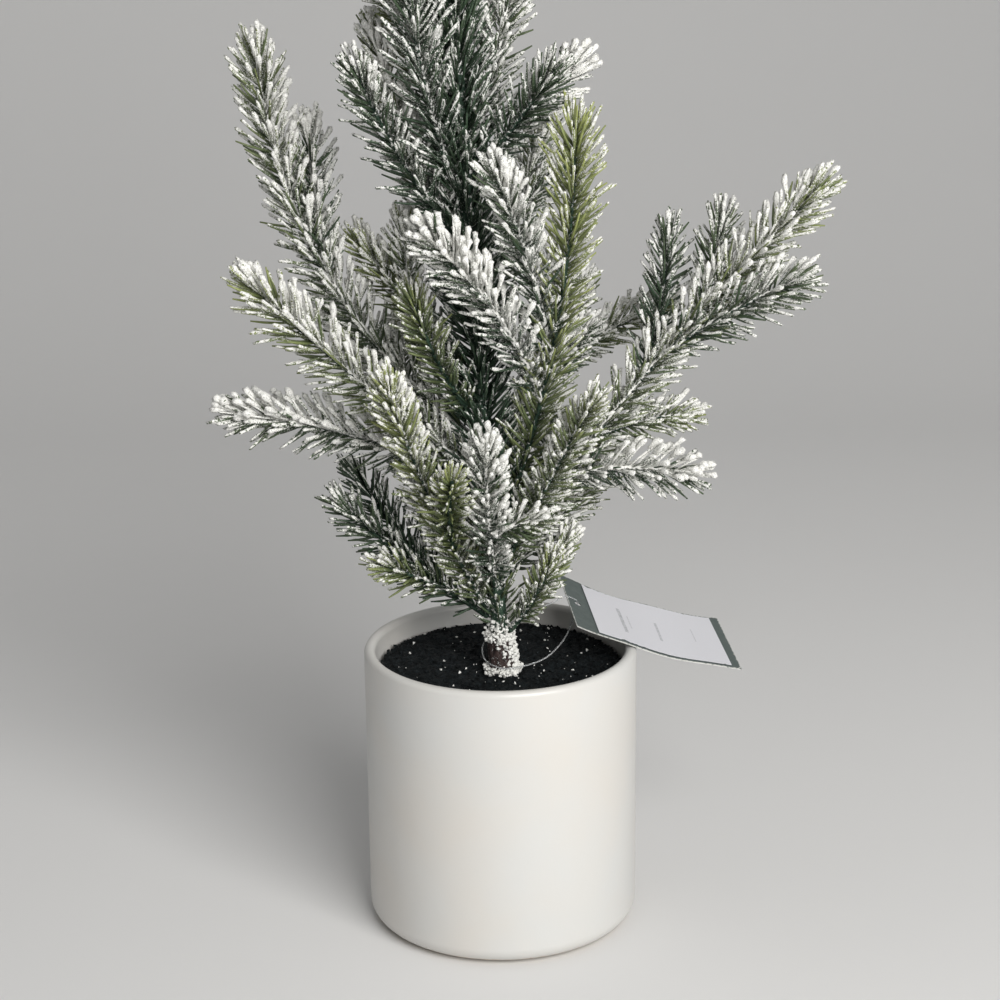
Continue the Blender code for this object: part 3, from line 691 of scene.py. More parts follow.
def branch_stems(name):
    """The stems of a branch: main first, from the hinge of its joint."""
    tip_place, bow, sides = BRANCHES[name]
    joint = joint_named("bend_" + name)
    start, axis = Vector(joint["pos_m"]), Vector(joint["axis"])
    tip = crown_point(tip_place)
    chord = tip - start
    upward = axis.cross(chord).normalized()
    main = Stem.bent(start, start + chord / 2 + upward * chord.length * bow, tip)
    return [main] + [side_stem(main, place, tip_place) for place, tip_place in sides]


# ---------------------------------------------------------------- needles and frost

def modelled_needle():
    """One needle, a unit long and a unit thick: five-sided, fullest at a third, blunt at its tip."""
    let_go()
    bpy.ops.mesh.primitive_cylinder_add(vertices=5, radius=0.5, depth=1.0, location=(0, 0, 0.5))
    obj = started("needle_shape")
    settle(obj)
    pick(obj, "EDGE", lambda a, b: abs(a.z - b.z) > 0.5)
    bpy.ops.mesh.subdivide(number_cuts=2)
    for height, width in ((0.0, 0.66), (1 / 3, 1.0), (2 / 3, 0.96), (1.0, 0.56)):
        pick(obj, "VERT", lambda co, n, h=height: abs(co.z - h) < 0.01)
        bpy.ops.transform.resize(value=(width, width * 0.86, 1.0), center_override=(0, 0, height))
    let_go()
    return Shape(obj)


def modelled_frost(seed, widths, roughness):
    """One lump of frost, a unit long with a unit radius: a knobbly club, thick towards the needle's tip."""
    let_go()
    bpy.ops.mesh.primitive_uv_sphere_add(segments=6, ring_count=5, radius=1.0, location=(0, 0, 0))
    obj = started("frost_shape")
    heights = [math.cos(math.pi * ring / 5) for ring in range(1, 5)]
    for height, width in zip(heights, widths):
        pick(obj, "VERT", lambda co, n, h=height: abs(co.z - h) < 0.01)
        bpy.ops.transform.resize(value=(width, width, 1.0), center_override=(0, 0, height))
    pick(obj, "VERT", lambda co, n: True)
    bpy.ops.transform.vertex_random(offset=roughness, uniform=0.6, normal=0.4, seed=seed)
    bpy.ops.transform.resize(value=(1.0, 1.0, 0.5), center_override=(0, 0, 1.0))
    let_go()
    shape = Shape(obj)
    shape.points[:, 2] -= shape.points[:, 2].min()
    shape.points[:, 2] /= shape.points[:, 2].max()
    return shape


def modelled_twig():
    """A straight length of twig, a unit long with a unit radius, to be bent along a stem."""
    let_go()
    bpy.ops.mesh.primitive_cylinder_add(vertices=7, radius=1.0, depth=1.0, location=(0, 0, 0.5))
    obj = started("twig_shape")
    settle(obj)
    pick(obj, "EDGE", lambda a, b: abs(a.z - b.z) > 0.5)
    bpy.ops.mesh.subdivide(number_cuts=27)
    pick(obj, "VERT", lambda co, n: 0.01 < co.z < 0.99)
    bpy.ops.transform.vertex_random(offset=0.006, uniform=1.0, normal=0.0, seed=3)
    let_go()
    return Shape(obj)


class Foliage:
    """Shapes and materials that every sprig of the tree shares."""

    def __init__(self, needles):
        self.sizes = needles
        self.needle = modelled_needle()
        self.frosts = [
            modelled_frost(1, (1.50, 1.04, 0.46, 0.46), 0.16),
            modelled_frost(2, (1.62, 0.80, 0.42, 0.54), 0.18),
            modelled_frost(3, (1.36, 1.16, 0.54, 0.46), 0.20),
            modelled_frost(4, (1.50, 0.74, 0.56, 0.66), 0.18),
        ]
        self.twig = modelled_twig()
        self.twig.map = self.twig.map[:, ::-1]      # a twig's cell is wide and low
        self.materials = [needle_material(needles), frost_material(needles), twig_material(needles)]

    def sprig(self, rng, stem, start, stop, look, density=1.0, foot=0.0015, gather=True):
        """Needles of one sprig: base, direction, length, bend, frost and colour of each."""
        frost, fresh, size = look
        span = stop - start
        count = max(6, int(span * self.sizes.per_metre * density))
        order = np.arange(count)
        even = (order + rng.uniform(0.0, 1.0, count)) / count
        place = start + span * (1.0 - (1.0 - even) ** 1.22)
        share = (place - start) / span
        ahead = stem.ahead(place)
        aside = unit(np.cross(ahead, OFF_AXIS))
        third = np.cross(ahead, aside)
        turn = order * GOLDEN_TURN + rng.normal(0.0, 0.30, count)
        outward = aside * np.cos(turn)[:, None] + third * np.sin(turn)[:, None]
        to_tip = np.clip((stop - place) / TAPER_REACH, 0.0, 1.0) if gather else np.ones(count)
        lean = self.sizes.spread * (1.0 - 0.14 * share) * (0.44 + 0.56 * to_tip ** 0.6)
        lean = lean + rng.normal(0.0, math.radians(8.0), count)
        direction = unit(ahead * np.cos(lean)[:, None] + outward * np.sin(lean)[:, None])
        length = self.sizes.length * size * (0.80 + 0.20 * to_tip) * rng.uniform(0.84, 1.14, count)
        length *= 0.72 + 0.28 * np.clip((place - start) / TAPER_REACH, 0.0, 1.0)
        facing = outward @ unit(np.array((0.18, -0.05, 1.0)))
        heap = frost * (0.64 + 0.36 * facing) * rng.uniform(0.62, 1.38, count)
        heap = heap * (0.64 + 0.48 * share) * self.sizes.frost
        heap = np.where(rng.random(count) < 0.24 * (1.3 - frost), heap * 0.2, heap)
        return {
            "base": stem.at(place) + outward * foot * 0.5,
            "direction": direction,
            "length": length,
            "bend": unit(ahead - direction * np.sum(ahead * direction, axis=1, keepdims=True)),
            "frost": np.clip(heap, 0.0, 1.25),
            "fresh": np.clip(fresh * (0.42 + 0.75 * share ** 1.3) * rng.uniform(0.6, 1.25, count), 0.0, 1.0),
            "tone": np.clip(rng.normal(0.5, 0.26, count), 0.0, 1.0),
            "size": np.full(count, size),
        }

    def place_all(self, rng, heap, sprigs, twigs):
        """Adds the needles, their frost and the twigs to a heap, each in a cell of its own in the map."""
        joined = {key: np.concatenate([sprig[key] for sprig in sprigs]) for key in sprigs[0]}
        count = len(joined["length"])
        across = math.ceil(math.sqrt(count))
        floor = 0.02 * len(twigs) + 0.004
        wide, tall = 1.0 / across, (1.0 - floor) / across
        column, row = np.arange(count) % across, np.arange(count) // across
        cells = np.stack([column * wide, floor + row * tall], axis=1)
        left = np.concatenate([cells + (wide * 0.03, tall * 0.05),
                               np.tile((wide * 0.42, tall * 0.90), (count, 1))], axis=1)
        right = np.concatenate([cells + (wide * 0.51, tall * 0.05),
                                np.tile((wide * 0.46, tall * 0.90), (count, 1))], axis=1)
        self.place_needles(heap, joined, left)
        self.place_frost(rng, heap, joined, right)
        for index, (stem, start, stop, thick, frost) in enumerate(twigs):
            cell = np.array([[0.01, 0.02 * index + 0.003, 0.98, 0.015]])
            self.place_twig(heap, stem, start, stop, thick, frost, cell)

    def place_needles(self, heap, all_, cells):
        shape = self.needle.points
        along = shape[:, 2]
        first = all_["bend"]
        second = np.cross(all_["direction"], first)
        thick = self.sizes.thickness * (0.85 + 0.15 * all_["size"])
        curve = (all_["length"] * NEEDLE_CURVE)[:, None] * along ** 2
        placed = (all_["base"][:, None]
                  + (all_["direction"] * all_["length"][:, None])[:, None] * along[None, :, None]
                  + (first * thick[:, None])[:, None] * shape[None, :, 0:1]
                  + (second * thick[:, None])[:, None] * shape[None, :, 1:2]
                  + first[:, None] * curve[:, :, None])
        heap.add(self.needle, placed, cells, 0, frost=all_["frost"][:, None],
                 fresh=all_["fresh"][:, None], along=along[None], tone=all_["tone"][:, None])

    def place_frost(self, rng, heap, all_, cells):
        count = len(all_["length"])
        kind = rng.integers(0, len(self.frosts), count)
        sunk = rng.uniform(0.0, 0.25, count)
        lumpy = rng.uniform(0.85, 1.15, (count, 2))
        lean = rng.normal(0.0, 0.35, (count, 3)) + UP
        for index, frost in enumerate(self.frosts):
            chosen = (kind == index) & (all_["frost"] > SPARSE_FROST)
            if not chosen.any():
                continue
            one = {key: value[chosen] for key, value in all_.items()}
            amount = one["frost"]
            along = frost.points[:, 2]
            up = lean[chosen]
            first = unit(up - one["direction"] * np.sum(up * one["direction"], axis=1, keepdims=True))
            second = np.cross(one["direction"], first)
            thin = self.sizes.thickness * 0.50
            wide, long = lumpy[chosen].T
            radius = thin + (self.sizes.frost_ball - thin) * np.clip(amount, 0.0, 1.1) ** 1.4 * wide
            reach = one["length"] * (0.66 - 0.20 * np.clip(amount - 0.3, 0.0, 0.9)) * long
            begin = one["length"] * 1.02 - reach + radius * 0.3
            offset = radius * (0.35 + sunk[chosen])
            where = begin[:, None] + reach[:, None] * along[None]
            share = where / one["length"][:, None]
            curve = (one["length"] * NEEDLE_CURVE)[:, None] * share ** 2
            placed = (one["base"][:, None]
                      + one["direction"][:, None] * where[:, :, None]
                      + one["bend"][:, None] * curve[:, :, None]
                      + (first * radius[:, None] * 0.85)[:, None] * frost.points[None, :, 0:1]
                      + (second * radius[:, None] * 0.82)[:, None] * frost.points[None, :, 1:2]
                      + (first * offset[:, None])[:, None])
            heap.add(frost, placed, cells[chosen], 1, frost=amount[:, None], fresh=one["fresh"][:, None],
                     along=along[None], tone=one["tone"][:, None])

    def place_twig(self, heap, stem, start, stop, thick, frost, cell):
        shape = self.twig.points
        place = start + (stop - start) * shape[:, 2]
        ahead = stem.ahead(place)
        aside = unit(np.cross(ahead, OFF_AXIS))
        third = np.cross(ahead, aside)
        radius = thick / 2 * (1.0 - 0.45 * shape[:, 2])
        outward = aside * shape[:, 0:1] + third * shape[:, 1:2]
        snow = np.clip(frost * (0.95 + 0.6 * unit(outward) @ UP), 0.0, 1.0)
        placed = stem.at(place) + outward * radius[:, None]
        heap.add(self.twig, placed[None], cell, 2, frost=snow[None], along=shape[None, :, 2])


FOLIAGE = {}


def foliage(needles):
    """The shared shapes, modelled once."""
    if "shared" not in FOLIAGE:
        FOLIAGE["shared"] = Foliage(needles)
    return FOLIAGE["shared"]


# ---------------------------------------------------------------- operators

class PINE_OT_make_pot(bpy.types.Operator):
    """Turn the pot: straight wall, rounded lip and foot, and a recess for its pad"""
    bl_idname = "pine.make_pot"
    bl_label = "Pot"

    def execute(self, context):
        pot = context.scene.pine_pot
        lip, foot = pot.wall / 2, pot.foot
        inner = pot.radius - pot.wall
        base_thickness, inner_round = 0.0085, 0.006
        floor = foot + base_thickness
        profile = [(pot.pad_radius - 0.0006, foot + 0.0015), (pot.pad_radius, foot + 0.0010),
                   (pot.pad_radius, foot), (pot.radius - pot.foot_round, foot)]
        profile += [(pot.radius - pot.foot_round * (1 - math.sin(a)),
                     foot + pot.foot_round * (1 - math.cos(a)))
                    for a in (math.pi / 2 * step / 9 for step in range(1, 10))]
        profile += [(pot.radius, foot + pot.foot_round + (pot.height - lip - foot - pot.foot_round) * share)
                    for share in (0.25, 0.5, 0.75, 1.0)]
        profile += [(pot.radius - lip * (1 - math.cos(a)), pot.height - lip * (1 - math.sin(a)))
                    for a in (math.pi * step / 10 for step in range(1, 11))]
        profile += [(inner, pot.height * 0.6), (inner, floor + inner_round)]
        profile += [(inner - inner_round * (1 - math.cos(a)), floor + inner_round * (1 - math.sin(a)))
                    for a in (math.pi / 2 * step / 4 for step in range(1, 5))]
        let_go()
        bpy.ops.mesh.primitive_circle_add(vertices=128, radius=profile[0][0], fill_type="NGON",
                                          location=(0, 0, profile[0][1]))
        obj = started("pot_shell")
        settle(obj)
        pick(obj, "VERT", lambda co, n: True)
        bpy.ops.mesh.flip_normals()
        for (radius, height), (wider, higher) in zip(profile, profile[1:]):
            bpy.ops.mesh.extrude_region_move(TRANSFORM_OT_translate={"value": (0, 0, higher - height)})
            growth = wider / radius
            bpy.ops.transform.resize(value=(growth, growth, 1.0), center_override=(0, 0, higher))
        pick(obj, "FACE", lambda co, n: abs(co.z - floor) < 1e-5 and abs(n.z) > 0.9 and co.xy.length < 0.001)
        bpy.ops.mesh.inset(thickness=inner * 0.6)
        bpy.ops.mesh.poke()
        pick(obj, "FACE", lambda co, n: co.z < foot + 0.002 and co.xy.length < 0.001)
        bpy.ops.mesh.inset(thickness=inner * 0.5)
        bpy.ops.mesh.poke()
        pick(obj, "VERT", lambda co, n: True)
        bpy.ops.mesh.normals_make_consistent(inside=False)
        let_go()
        soft_shading(obj, 50.0)
        obj.data.materials.append(glaze_material(pot))
        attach(obj, "potted_trunk")
        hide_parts("pot")
        return {"FINISHED"}


class PINE_OT_make_soil(bpy.types.Operator):
    """Lay the bed of black grit, its loose grains and the crumbs of frost on it"""
    bl_idname = "pine.make_soil"
    bl_label = "Grit"

    def execute(self, context):
        soil = context.scene.pine_soil
        rng = np.random.default_rng(5)
        low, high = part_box("soil")
        let_go()
        bpy.ops.mesh.primitive_grid_add(x_subdivisions=84, y_subdivisions=84, size=soil.radius * 2.1,
                                        location=(0, 0, low.z))
        obj = started("grit_bed")
        settle(obj)
        trunk_opening, grain_clearance = 0.0052, 0.0072

        def ragged_edge(co):
            angle = math.atan2(co.y, co.x)
            return soil.radius - 0.0012 * (1 + math.sin(9 * angle + 1.3) * math.sin(23 * angle)) / 2

        pick(obj, "FACE", lambda co, n: co.xy.length > ragged_edge(co)
             or (co.xy - Vector(TRUNK_FOOT)).length < trunk_opening)
        bpy.ops.mesh.delete(type="FACE")
        pick(obj, "FACE", lambda co, n: True)
        bpy.ops.mesh.extrude_region_move(TRANSFORM_OT_translate={"value": (0, 0, high.z - low.z - 0.0022)})
        pick(obj, "VERT", lambda co, n: True)
        bpy.ops.mesh.normals_make_consistent(inside=False)
        let_go()
        cloud = bpy.data.textures.new("grit_lumps", "CLOUDS")
        cloud.noise_scale = 0.0045
        cloud.noise_depth = 4
        group = obj.vertex_groups.new(name="top")
        upper = low.z + 0.003
        group.add([v.index for v in obj.data.vertices
                   if v.co.z > upper and v.co.xy.length < soil.radius - 0.002], 1.0, "REPLACE")
        apply_modifier(obj, "DISPLACE", "lumps", texture=cloud, strength=0.0042, mid_level=0.5,
                       direction="Z", texture_coords="LOCAL", vertex_group="top")
        points = np.array([v.co for v in obj.data.vertices])
        top = points[points[:, 2] > upper]
        material = grit_material(soil)
        obj.data.materials.append(material)
        soft_shading(obj, 60.0)
        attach(obj, "potted_trunk")
        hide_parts("soil")

        shapes = []
        for seed in range(4):
            let_go()
            bpy.ops.mesh.primitive_ico_sphere_add(subdivisions=1, radius=1.0, location=(0, 0, 0))
            grain = started("grain_shape")
            pick(grain, "VERT", lambda co, n: True)
            bpy.ops.transform.vertex_random(offset=0.42, uniform=0.7, normal=0.3, seed=seed + 4)
            bpy.ops.transform.resize(value=(1.0, 0.8, 0.6), center_override=(0, 0, 0))
            let_go()
            shapes.append(Shape(grain))
        snow = frost_material(context.scene.pine_needles)
        for name, count, sizes, worn in (("grit_grains", soil.grains, (0.0005, 0.0015), 0),
                                         ("frost_crumbs", soil.specks, (0.0003, 0.0009), 1)):
            heap = Heap()
            chosen = top[rng.integers(0, len(top), count)] + rng.uniform(-0.0006, 0.0006, (count, 3))
            if worn:
                near = rng.random(count) < 0.35
                ring = rng.uniform(0.008, 0.022, count)[:, None] * unit(rng.normal(0, 1, (count, 3)))
                spot = np.array((*TRUNK_FOOT, high.z)) + ring
                spot[:, 2] = high.z - 0.001 + rng.uniform(0, 0.0008, count)
                chosen = np.where(near[:, None], spot, chosen)
                chosen[:, 2] += 0.0006
            keep = (np.hypot(chosen[:, 0], chosen[:, 1]) < soil.radius - 0.0005) & (
                np.hypot(chosen[:, 0] - TRUNK_FOOT[0], chosen[:, 1] - TRUNK_FOOT[1]) > grain_clearance)
            chosen = chosen[keep]
            size = sizes[0] + (sizes[1] - sizes[0]) * rng.random(len(chosen)) ** 2.2
            angles = rng.uniform(0, 6.28, len(chosen))
            axes = unit(rng.normal(0, 1, (len(chosen), 3)))
            turns = np.array([np.array(Matrix.Rotation(angle, 3, Vector(tuple(axis))))
                              for angle, axis in zip(angles, axes)])
            across = math.ceil(math.sqrt(len(chosen)))
            for index, shape in enumerate(shapes):
                mine = np.arange(len(chosen)) % len(shapes) == index
                placed = np.einsum("nij,vj->nvi", turns[mine], shape.points) * size[mine][:, None, None]
                placed = placed + chosen[mine][:, None]
                numbers = np.nonzero(mine)[0]
                cells = map_squares(numbers, across)
                heap.add(shape, placed, cells, 0, frost=np.full((len(numbers), 1), 0.9),
                         tone=rng.random((len(numbers), 1)))
            piece = heap.finish(name, [snow if worn else material])
            piece.data.polygons.foreach_set("use_smooth", np.zeros(len(piece.data.polygons), bool))
            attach(piece, "potted_trunk")
        return {"FINISHED"}


class PINE_OT_make_sprigs(bpy.types.Operator):
    """Grow the needles, frost and twigs of every branch"""
    bl_idname = "pine.make_sprigs"
    bl_label = "Branches"

    def execute(self, context):
        needles = context.scene.pine_needles
        shared = foliage(needles)
        for number, name in enumerate(BRANCHES):
            rng = np.random.default_rng(needles.seed * 1000 + number)
            sprigs, twigs = [], []
            for index, (stem, look) in enumerate(zip(branch_stems(name), LOOKS[name])):
                start = 0.006 if index == 0 else 0.004
                stop = stem.length - TIP_CLEARANCE * look[2]
                sprigs.append(shared.sprig(rng, stem, start, stop, look, density=1.0 / look[2] ** 0.5))
                twigs.append((stem, 0.001 if index == 0 else 0.0, stop + TWIG_BEYOND, needles.twig, look[0]))
            heap = Heap()
            shared.place_all(rng, heap, sprigs, twigs)
            piece = heap.finish("needles_" + name, shared.materials)
            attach(piece, "branch_" + name)
            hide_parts("sprig_" + name)
        wire = wire_material(needles)
        for name in BRANCHES:
            dress("wire_" + name, wire)
        return {"FINISHED"}


class PINE_OT_make_crown(bpy.types.Operator):
    """Grow the leader at the top of the tree, and the short needles along the trunk"""
    bl_idname = "pine.make_crown"
    bl_label = "Leader and trunk"

    def execute(self, context):
        needles = context.scene.pine_needles
        shared = foliage(needles)
        rng = np.random.default_rng(needles.seed * 1000 + 500)
        halfway = (LEADER_START + TREE_TOP) / 2
        leader = Stem.bent(trunk_at(LEADER_START), trunk_at(halfway), trunk_at(TREE_TOP))
        stems = [leader] + [side_stem(leader, place, tip) for place, tip in LEADER_SIDES]
        sprigs, twigs = [], []
        for index, (stem, look) in enumerate(zip(stems, LEADER_LOOKS)):
            stop = stem.length - TIP_CLEARANCE
            sprigs.append(shared.sprig(rng, stem, 0.003, stop, look))
            twigs.append((stem, 0.0, stop + TWIG_BEYOND, needles.twig, look[0]))
        heap = Heap()
        shared.place_all(rng, heap, sprigs, twigs)
        piece = heap.finish("needles_leader", shared.materials)
        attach(piece, "potted_trunk")
        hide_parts("leader_sprig")

        steps = 50
        trunk = Stem([trunk_at(SLEEVE_TOP + (LEADER_START - SLEEVE_TOP) * step / steps)
                      for step in range(steps + 1)])
        dense_from = 0.045
        low = shared.sprig(rng, trunk, 0.004, dense_from, (0.42, 0.35, 0.95), 1.2, foot=0.008, gather=False)
        high = shared.sprig(rng, trunk, dense_from, trunk.length, (0.30, 0.05, 1.40), 1.8, foot=0.007,
                            gather=False)
        heap = Heap()
        shared.place_all(rng, heap, [low, high], [])
        piece = heap.finish("needles_trunk", shared.materials[:2])
        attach(piece, "potted_trunk")
        return {"FINISHED"}


class PINE_OT_make_trunk_foot(bpy.types.Operator):
    """Finish the bark sleeve and the taped trunk, and heap frost round the foot"""
    bl_idname = "pine.make_trunk_foot"
    bl_label = "Trunk foot"

    def execute(self, context):
        needles = context.scene.pine_needles
        shared = foliage(needles)
        dress("trunk_sleeve", bark_material())
        dress("trunk_wrap", tape_material(needles))
        rng = np.random.default_rng(77)
        # (how many, height and its scatter, distance from the trunk's middle, facing and its scatter, size)
        drifts = [(150, SLEEVE_TOP - 0.0008, 0.0015, 0.0063, 0.0, 9.0, 0.0012),
                  (270, SOIL_TOP + 0.0003, 0.0008, 0.0079, -1.1, 1.7, 0.0011),
                  (340, (SOIL_TOP + SLEEVE_TOP) / 2, 0.0044, 0.0060, 0.25, 0.62, 0.0013),
                  (60, SLEEVE_TOP + 0.0030, 0.0018, 0.0046, 0.0, 9.0, 0.0011)]
        height = np.concatenate([rng.normal(h, spread, n) for n, h, spread, *_ in drifts])
        height = np.clip(height, SOIL_TOP - 0.0010, SLEEVE_TOP + 0.007)
        turn = np.concatenate([rng.normal(facing, spread, n) for n, _, _, _, facing, spread, _ in drifts])
        reach = np.concatenate([rng.normal(away, 0.0007, n) for n, _, _, away, *_ in drifts])
        size = np.concatenate([rng.uniform(0.45, 1.0, n) * big for n, *_, big in drifts])
        count = len(size)
        heap = Heap()
        centre = np.array([tuple(trunk_at(value)) for value in height])
        outward = np.stack([np.cos(turn), np.sin(turn), np.zeros(count)], axis=1)
        lumps = np.arange(count) % len(shared.frosts)
        across = math.ceil(math.sqrt(count))
        for index, shape in enumerate(shared.frosts):
            mine = lumps == index
            direction = unit(rng.normal(0, 1, (mine.sum(), 3)))
            first = unit(np.cross(direction, rng.normal(0, 1, (mine.sum(), 3))))
            second = np.cross(direction, first)
            points = shape.points - (0, 0, 0.5)
            scale = size[mine][:, None, None]
            placed = ((centre + outward * reach[:, None])[mine][:, None]
                      + direction[:, None] * points[None, :, 2:3] * scale * 2.6
                      + first[:, None] * points[None, :, 0:1] * scale
                      + second[:, None] * points[None, :, 1:2] * scale)
            numbers = np.nonzero(mine)[0]
            cells = map_squares(numbers, across)
            heap.add(shape, placed, cells, 0, frost=np.full((len(numbers), 1), 1.0))
        piece = heap.finish("frost_collar", [shared.materials[1]])
        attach(piece, "potted_trunk")
        return {"FINISHED"}


class PINE_OT_make_tag(bpy.types.Operator):
    """Cut and curl the card, stick on its label, and clear the nylon loop"""
    bl_idname = "pine.make_tag"
    bl_label = "Hang tag"

    def execute(self, context):
        tag = context.scene.pine_tag
        joint = joint_named("tag_lift")
        across = -Vector(joint["axis"]).normalized()
        heading, droop = math.radians(12.0), math.radians(20.0)
        level = math.cos(droop)
        along = Vector((math.cos(heading) * level, math.sin(heading) * level, -math.sin(droop)))
        normal = along.cross(across).normalized()
        half_length, half_width = tag.length / 2, tag.width / 2
        inset = 0.0058 - half_length

        def sag(u):
            return tag.sag * (1 - (u / half_length) ** 2)

        middle = Vector(joint["pos_m"]) - along * inset - normal * (tag.thickness / 2 - sag(inset))

        def lay(obj):
            for vert in obj.data.vertices:
                u, v, w = vert.co
                ripple = 0.0004 * math.sin(u * 130.0 + 0.6) * (v / tag.width * 2)
                vert.co = middle + along * u + across * v + normal * (w - sag(u) + ripple)
            obj.data.update()

        let_go()
        bpy.ops.mesh.primitive_grid_add(x_subdivisions=44, y_subdivisions=26, size=1.0, location=(0, 0, 0))
        card = started("card_sheet")
        pick(card, "VERT", lambda co, n: True)
        bpy.ops.transform.resize(value=(tag.length, tag.width, 1.0), center_override=(0, 0, 0))
        pick(card, "VERT", lambda co, n: abs(co.x) > half_length - 1e-5 and abs(co.y) > half_width - 1e-5)
        bpy.ops.mesh.bevel(offset=0.0003, segments=2, affect="VERTICES")
        let_go()
        apply_modifier(card, "SOLIDIFY", "thickness", thickness=tag.thickness, offset=1.0)
        let_go()
        bpy.ops.mesh.primitive_cylinder_add(vertices=28, radius=tag.hole, depth=0.01, location=(inset, 0, 0))
        punch = started("punch")
        apply_modifier(card, "BOOLEAN", "hole", object=punch, operation="DIFFERENCE")
        bpy.data.objects.remove(punch, do_unlink=True)
        edge = card.data.attributes.new("edge", "FLOAT", "POINT")
        near = [abs(v.co.x) / half_length if half_length - abs(v.co.x) < half_width - abs(v.co.y)
                else abs(v.co.y) / half_width for v in card.data.vertices]
        edge.data.foreach_set("value", [1.0 if share > 0.999 else 0.0 for share in near])
        lay(card)
        card.data.materials.append(card_material(tag))
        soft_shading(card, 35.0)
        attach(card, "hang_tag")
        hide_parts("tag_card")

        let_go()
        bpy.ops.mesh.primitive_grid_add(x_subdivisions=66, y_subdivisions=30, size=1.0, location=(0, 0, 0))
        label = started("label_sheet")
        hole_margin, end_margin, side_margin = 0.0125, 0.0050, 0.0015
        left, right, side = hole_margin - half_length, half_length - end_margin, half_width - side_margin
        pick(label, "VERT", lambda co, n: True)
        bpy.ops.transform.resize(value=(right - left, side * 2, 1.0), center_override=(0, 0, 0))
        bpy.ops.transform.translate(value=((left + right) / 2, 0, tag.thickness + 0.0003))
        rng = np.random.default_rng(9)
        tears = np.convolve(rng.normal(0.0, 1.0, 240), (0.2, 0.5, 0.8, 0.5, 0.2), "same")[:200]
        tears = 0.00045 * np.where(tears > 0.9, tears, 0.15 * np.abs(tears))
        let_go()
        for index, vert in enumerate(label.data.vertices):
            if abs(vert.co.y) > side - 1e-5:
                vert.co.y -= math.copysign(tears[index % 200] + 0.0002, vert.co.y)
        apply_modifier(label, "SOLIDIFY", "thickness", thickness=0.0002, offset=1.0)
        lay(label)
        label.data.materials.append(label_material(tag))
        soft_shading(label, 35.0)
        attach(label, "hang_tag")
        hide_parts("tag_label")
        dress("tag_loop", nylon_material())
        return {"FINISHED"}


class PINE_OT_finish_inside(bpy.types.Operator):
    """Give the pad, the ballast, the foam and the rod their finishes"""
    bl_idname = "pine.finish_inside"
    bl_label = "Pieces inside the pot"

    def execute(self, context):
        dress("base_pad", plain_grain("foam_pad", (0.018, 0.018, 0.019), (0.040, 0.040, 0.042), 1400.0, 0.9))
        dress("ballast", plain_grain("cast_cement", (0.26, 0.25, 0.235), (0.42, 0.41, 0.39), 240.0, 0.9,
                                     bump=0.8))
        dress("foam_plug", plain_grain("bead_foam", (0.74, 0.74, 0.72), (0.84, 0.84, 0.83), 420.0, 0.85))
        dress("trunk_rod", plain_grain("drawn_steel", (0.24, 0.24, 0.25), (0.36, 0.36, 0.37), 900.0, 0.4,
                                       metallic=1.0, bump=0.2))
        return {"FINISHED"}


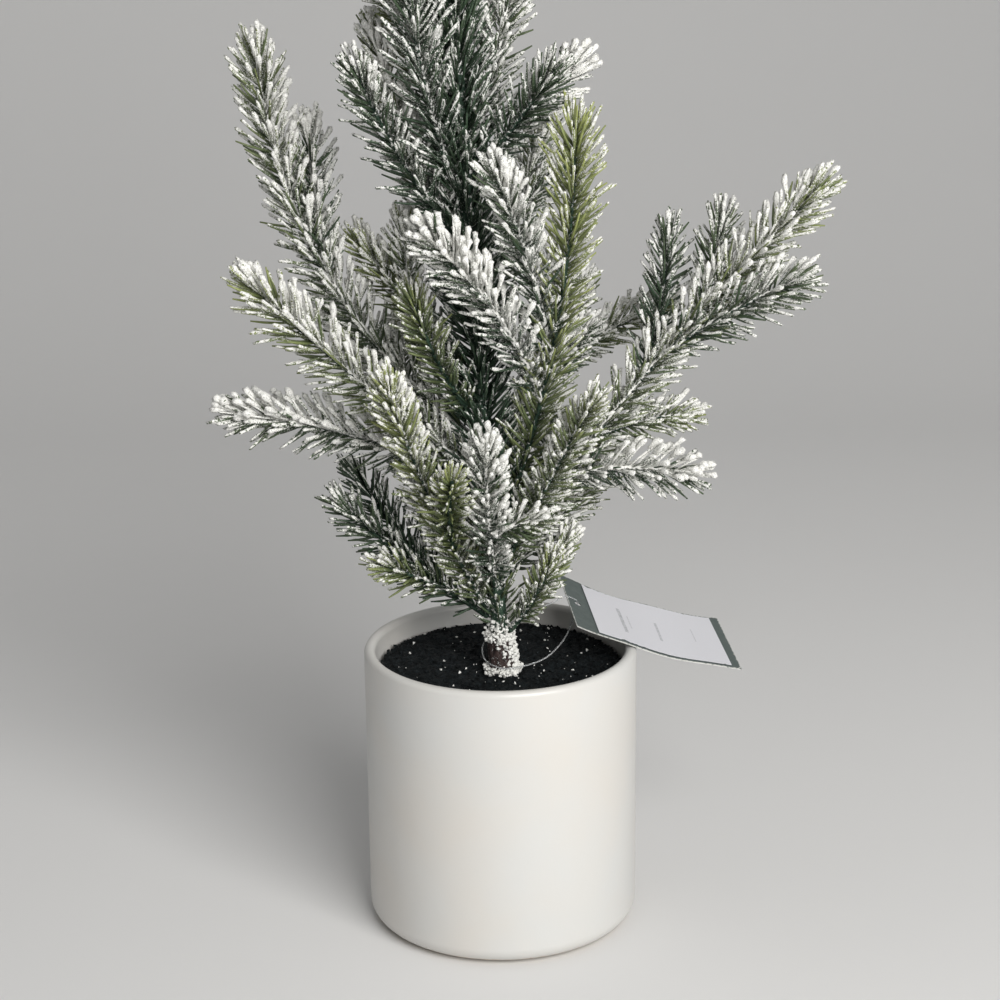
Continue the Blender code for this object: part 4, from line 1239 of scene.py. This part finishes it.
class PINE_OT_make_stage(bpy.types.Operator):
    """Set up the floor, the backdrop, the soft lights and the camera"""
    bl_idname = "pine.make_stage"
    bl_label = "Stage"

    def execute(self, context):
        studio = context.scene.pine_studio
        let_go()
        bpy.ops.mesh.primitive_plane_add(size=6.0, location=(0, 0, 0))
        floor = started("floor")
        pick(floor, "EDGE", lambda a, b: a.y > 2.9 and b.y > 2.9)
        bpy.ops.transform.translate(value=(0, -1.0, 0))
        bpy.ops.mesh.extrude_region_move(TRANSFORM_OT_translate={"value": (0, 0, 3.0)})
        pick(floor, "EDGE", lambda a, b: abs(a.z) < 0.01 and abs(b.z) < 0.01 and a.y > 1.9 and b.y > 1.9)
        bpy.ops.mesh.bevel(offset=1.1, segments=32, affect="EDGES")
        let_go()
        soft_shading(floor, 60.0)
        finish = Finish("pale_floor", Specular_IOR_Level=0.2)
        tint = tuple(studio.floor)
        finish.wear("Base Color", finish.blend(finish.noise(3.0, 3.0), tuple(v * 0.97 for v in tint), tint))
        finish.wear("Roughness", finish.between(finish.noise(40.0, 3.0), 0.3, 0.7, 0.70, 0.85))
        floor.data.materials.append(finish.material)

        world = bpy.data.worlds.new("room")
        context.scene.world = world
        world.use_nodes = True
        room = world.node_tree.nodes["Background"]
        room.inputs["Color"].default_value = (0.95, 0.97, 1.0, 1.0)
        room.inputs["Strength"].default_value = studio.air
        for name, power, size, place, target, colour in (
                ("key", studio.key, 1.2, (0.72, -1.42, 1.05), (0, 0, 0.25), (1.0, 0.99, 0.975)),
                ("fill", studio.fill, 1.6, (-1.3, -1.0, 1.0), (0, 0, 0.25), (0.92, 0.95, 1.0)),
                ("backdrop", studio.backdrop, 1.8, (-0.7, 0.55, 1.7), (-0.5, 1.7, 0.2), (1.0, 0.985, 0.96))):
            light = bpy.data.lights.new(name, "AREA")
            light.energy = power
            light.size = size
            light.color = colour
            lamp = bpy.data.objects.new(name, light)
            lamp.location = place
            lamp.rotation_euler = (Vector(target) - Vector(place)).to_track_quat("-Z", "Y").to_euler()
            lamp.visible_camera = False
            context.scene.collection.objects.link(lamp)

        down, roll = CAMERA_DOWN, CAMERA_ROLL
        right, up = Vector((1, 0, 0)), Vector((0, math.sin(down), math.cos(down)))
        back = Vector((0, -math.cos(down), math.sin(down)))
        turned_right = right * math.cos(roll) + up * math.sin(roll)
        turned_up = up * math.cos(roll) - right * math.sin(roll)
        camera = bpy.data.cameras.new("camera")
        camera.lens = studio.lens
        camera.sensor_width = 36.0
        view = bpy.data.objects.new("camera", camera)
        view.matrix_world = Matrix.Translation(CAMERA_PLACE) @ Matrix(
            (turned_right, turned_up, back)).transposed().to_4x4()
        context.scene.collection.objects.link(view)
        context.scene.camera = view
        context.scene.view_settings.view_transform = "Standard"
        return {"FINISHED"}


class PINE_PT_panel(bpy.types.Panel):
    """Lists the pieces of the tree, in the order in which they are made"""
    bl_idname = "PINE_PT_panel"
    bl_label = "Tabletop Pine"
    bl_space_type = "VIEW_3D"
    bl_region_type = "UI"
    bl_category = "Tabletop Pine"

    def draw(self, context):
        for operator in OPERATORS:
            self.layout.operator(operator.bl_idname)
        for name in GROUPS:
            box = self.layout.box()
            group = getattr(context.scene, name)
            for key in group.bl_rna.properties.keys():
                if key not in ("rna_type", "name"):
                    box.prop(group, key)


OPERATORS = (PINE_OT_make_stage, PINE_OT_make_pot, PINE_OT_make_soil, PINE_OT_make_trunk_foot,
             PINE_OT_make_sprigs, PINE_OT_make_crown, PINE_OT_make_tag, PINE_OT_finish_inside)
GROUPS = {"pine_needles": PineNeedles, "pine_pot": PotShape, "pine_soil": SoilBed,
          "pine_tag": HangTag, "pine_studio": Studio}


def register():
    for cls in (*GROUPS.values(), *OPERATORS, PINE_PT_panel):
        bpy.utils.register_class(cls)
    for name, group in GROUPS.items():
        setattr(bpy.types.Scene, name, bpy.props.PointerProperty(type=group))


def unregister():
    for name in GROUPS:
        delattr(bpy.types.Scene, name)
    for cls in (PINE_PT_panel, *reversed(OPERATORS), *reversed(tuple(GROUPS.values()))):
        bpy.utils.unregister_class(cls)


def main():
    register()
    bpy.ops.pine.make_stage()
    bpy.ops.pine.make_pot()
    bpy.ops.pine.make_soil()
    bpy.ops.pine.make_trunk_foot()
    bpy.ops.pine.make_sprigs()
    bpy.ops.pine.make_crown()
    bpy.ops.pine.make_tag()
    bpy.ops.pine.finish_inside()
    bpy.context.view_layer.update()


if __name__ == "__main__":
    main()
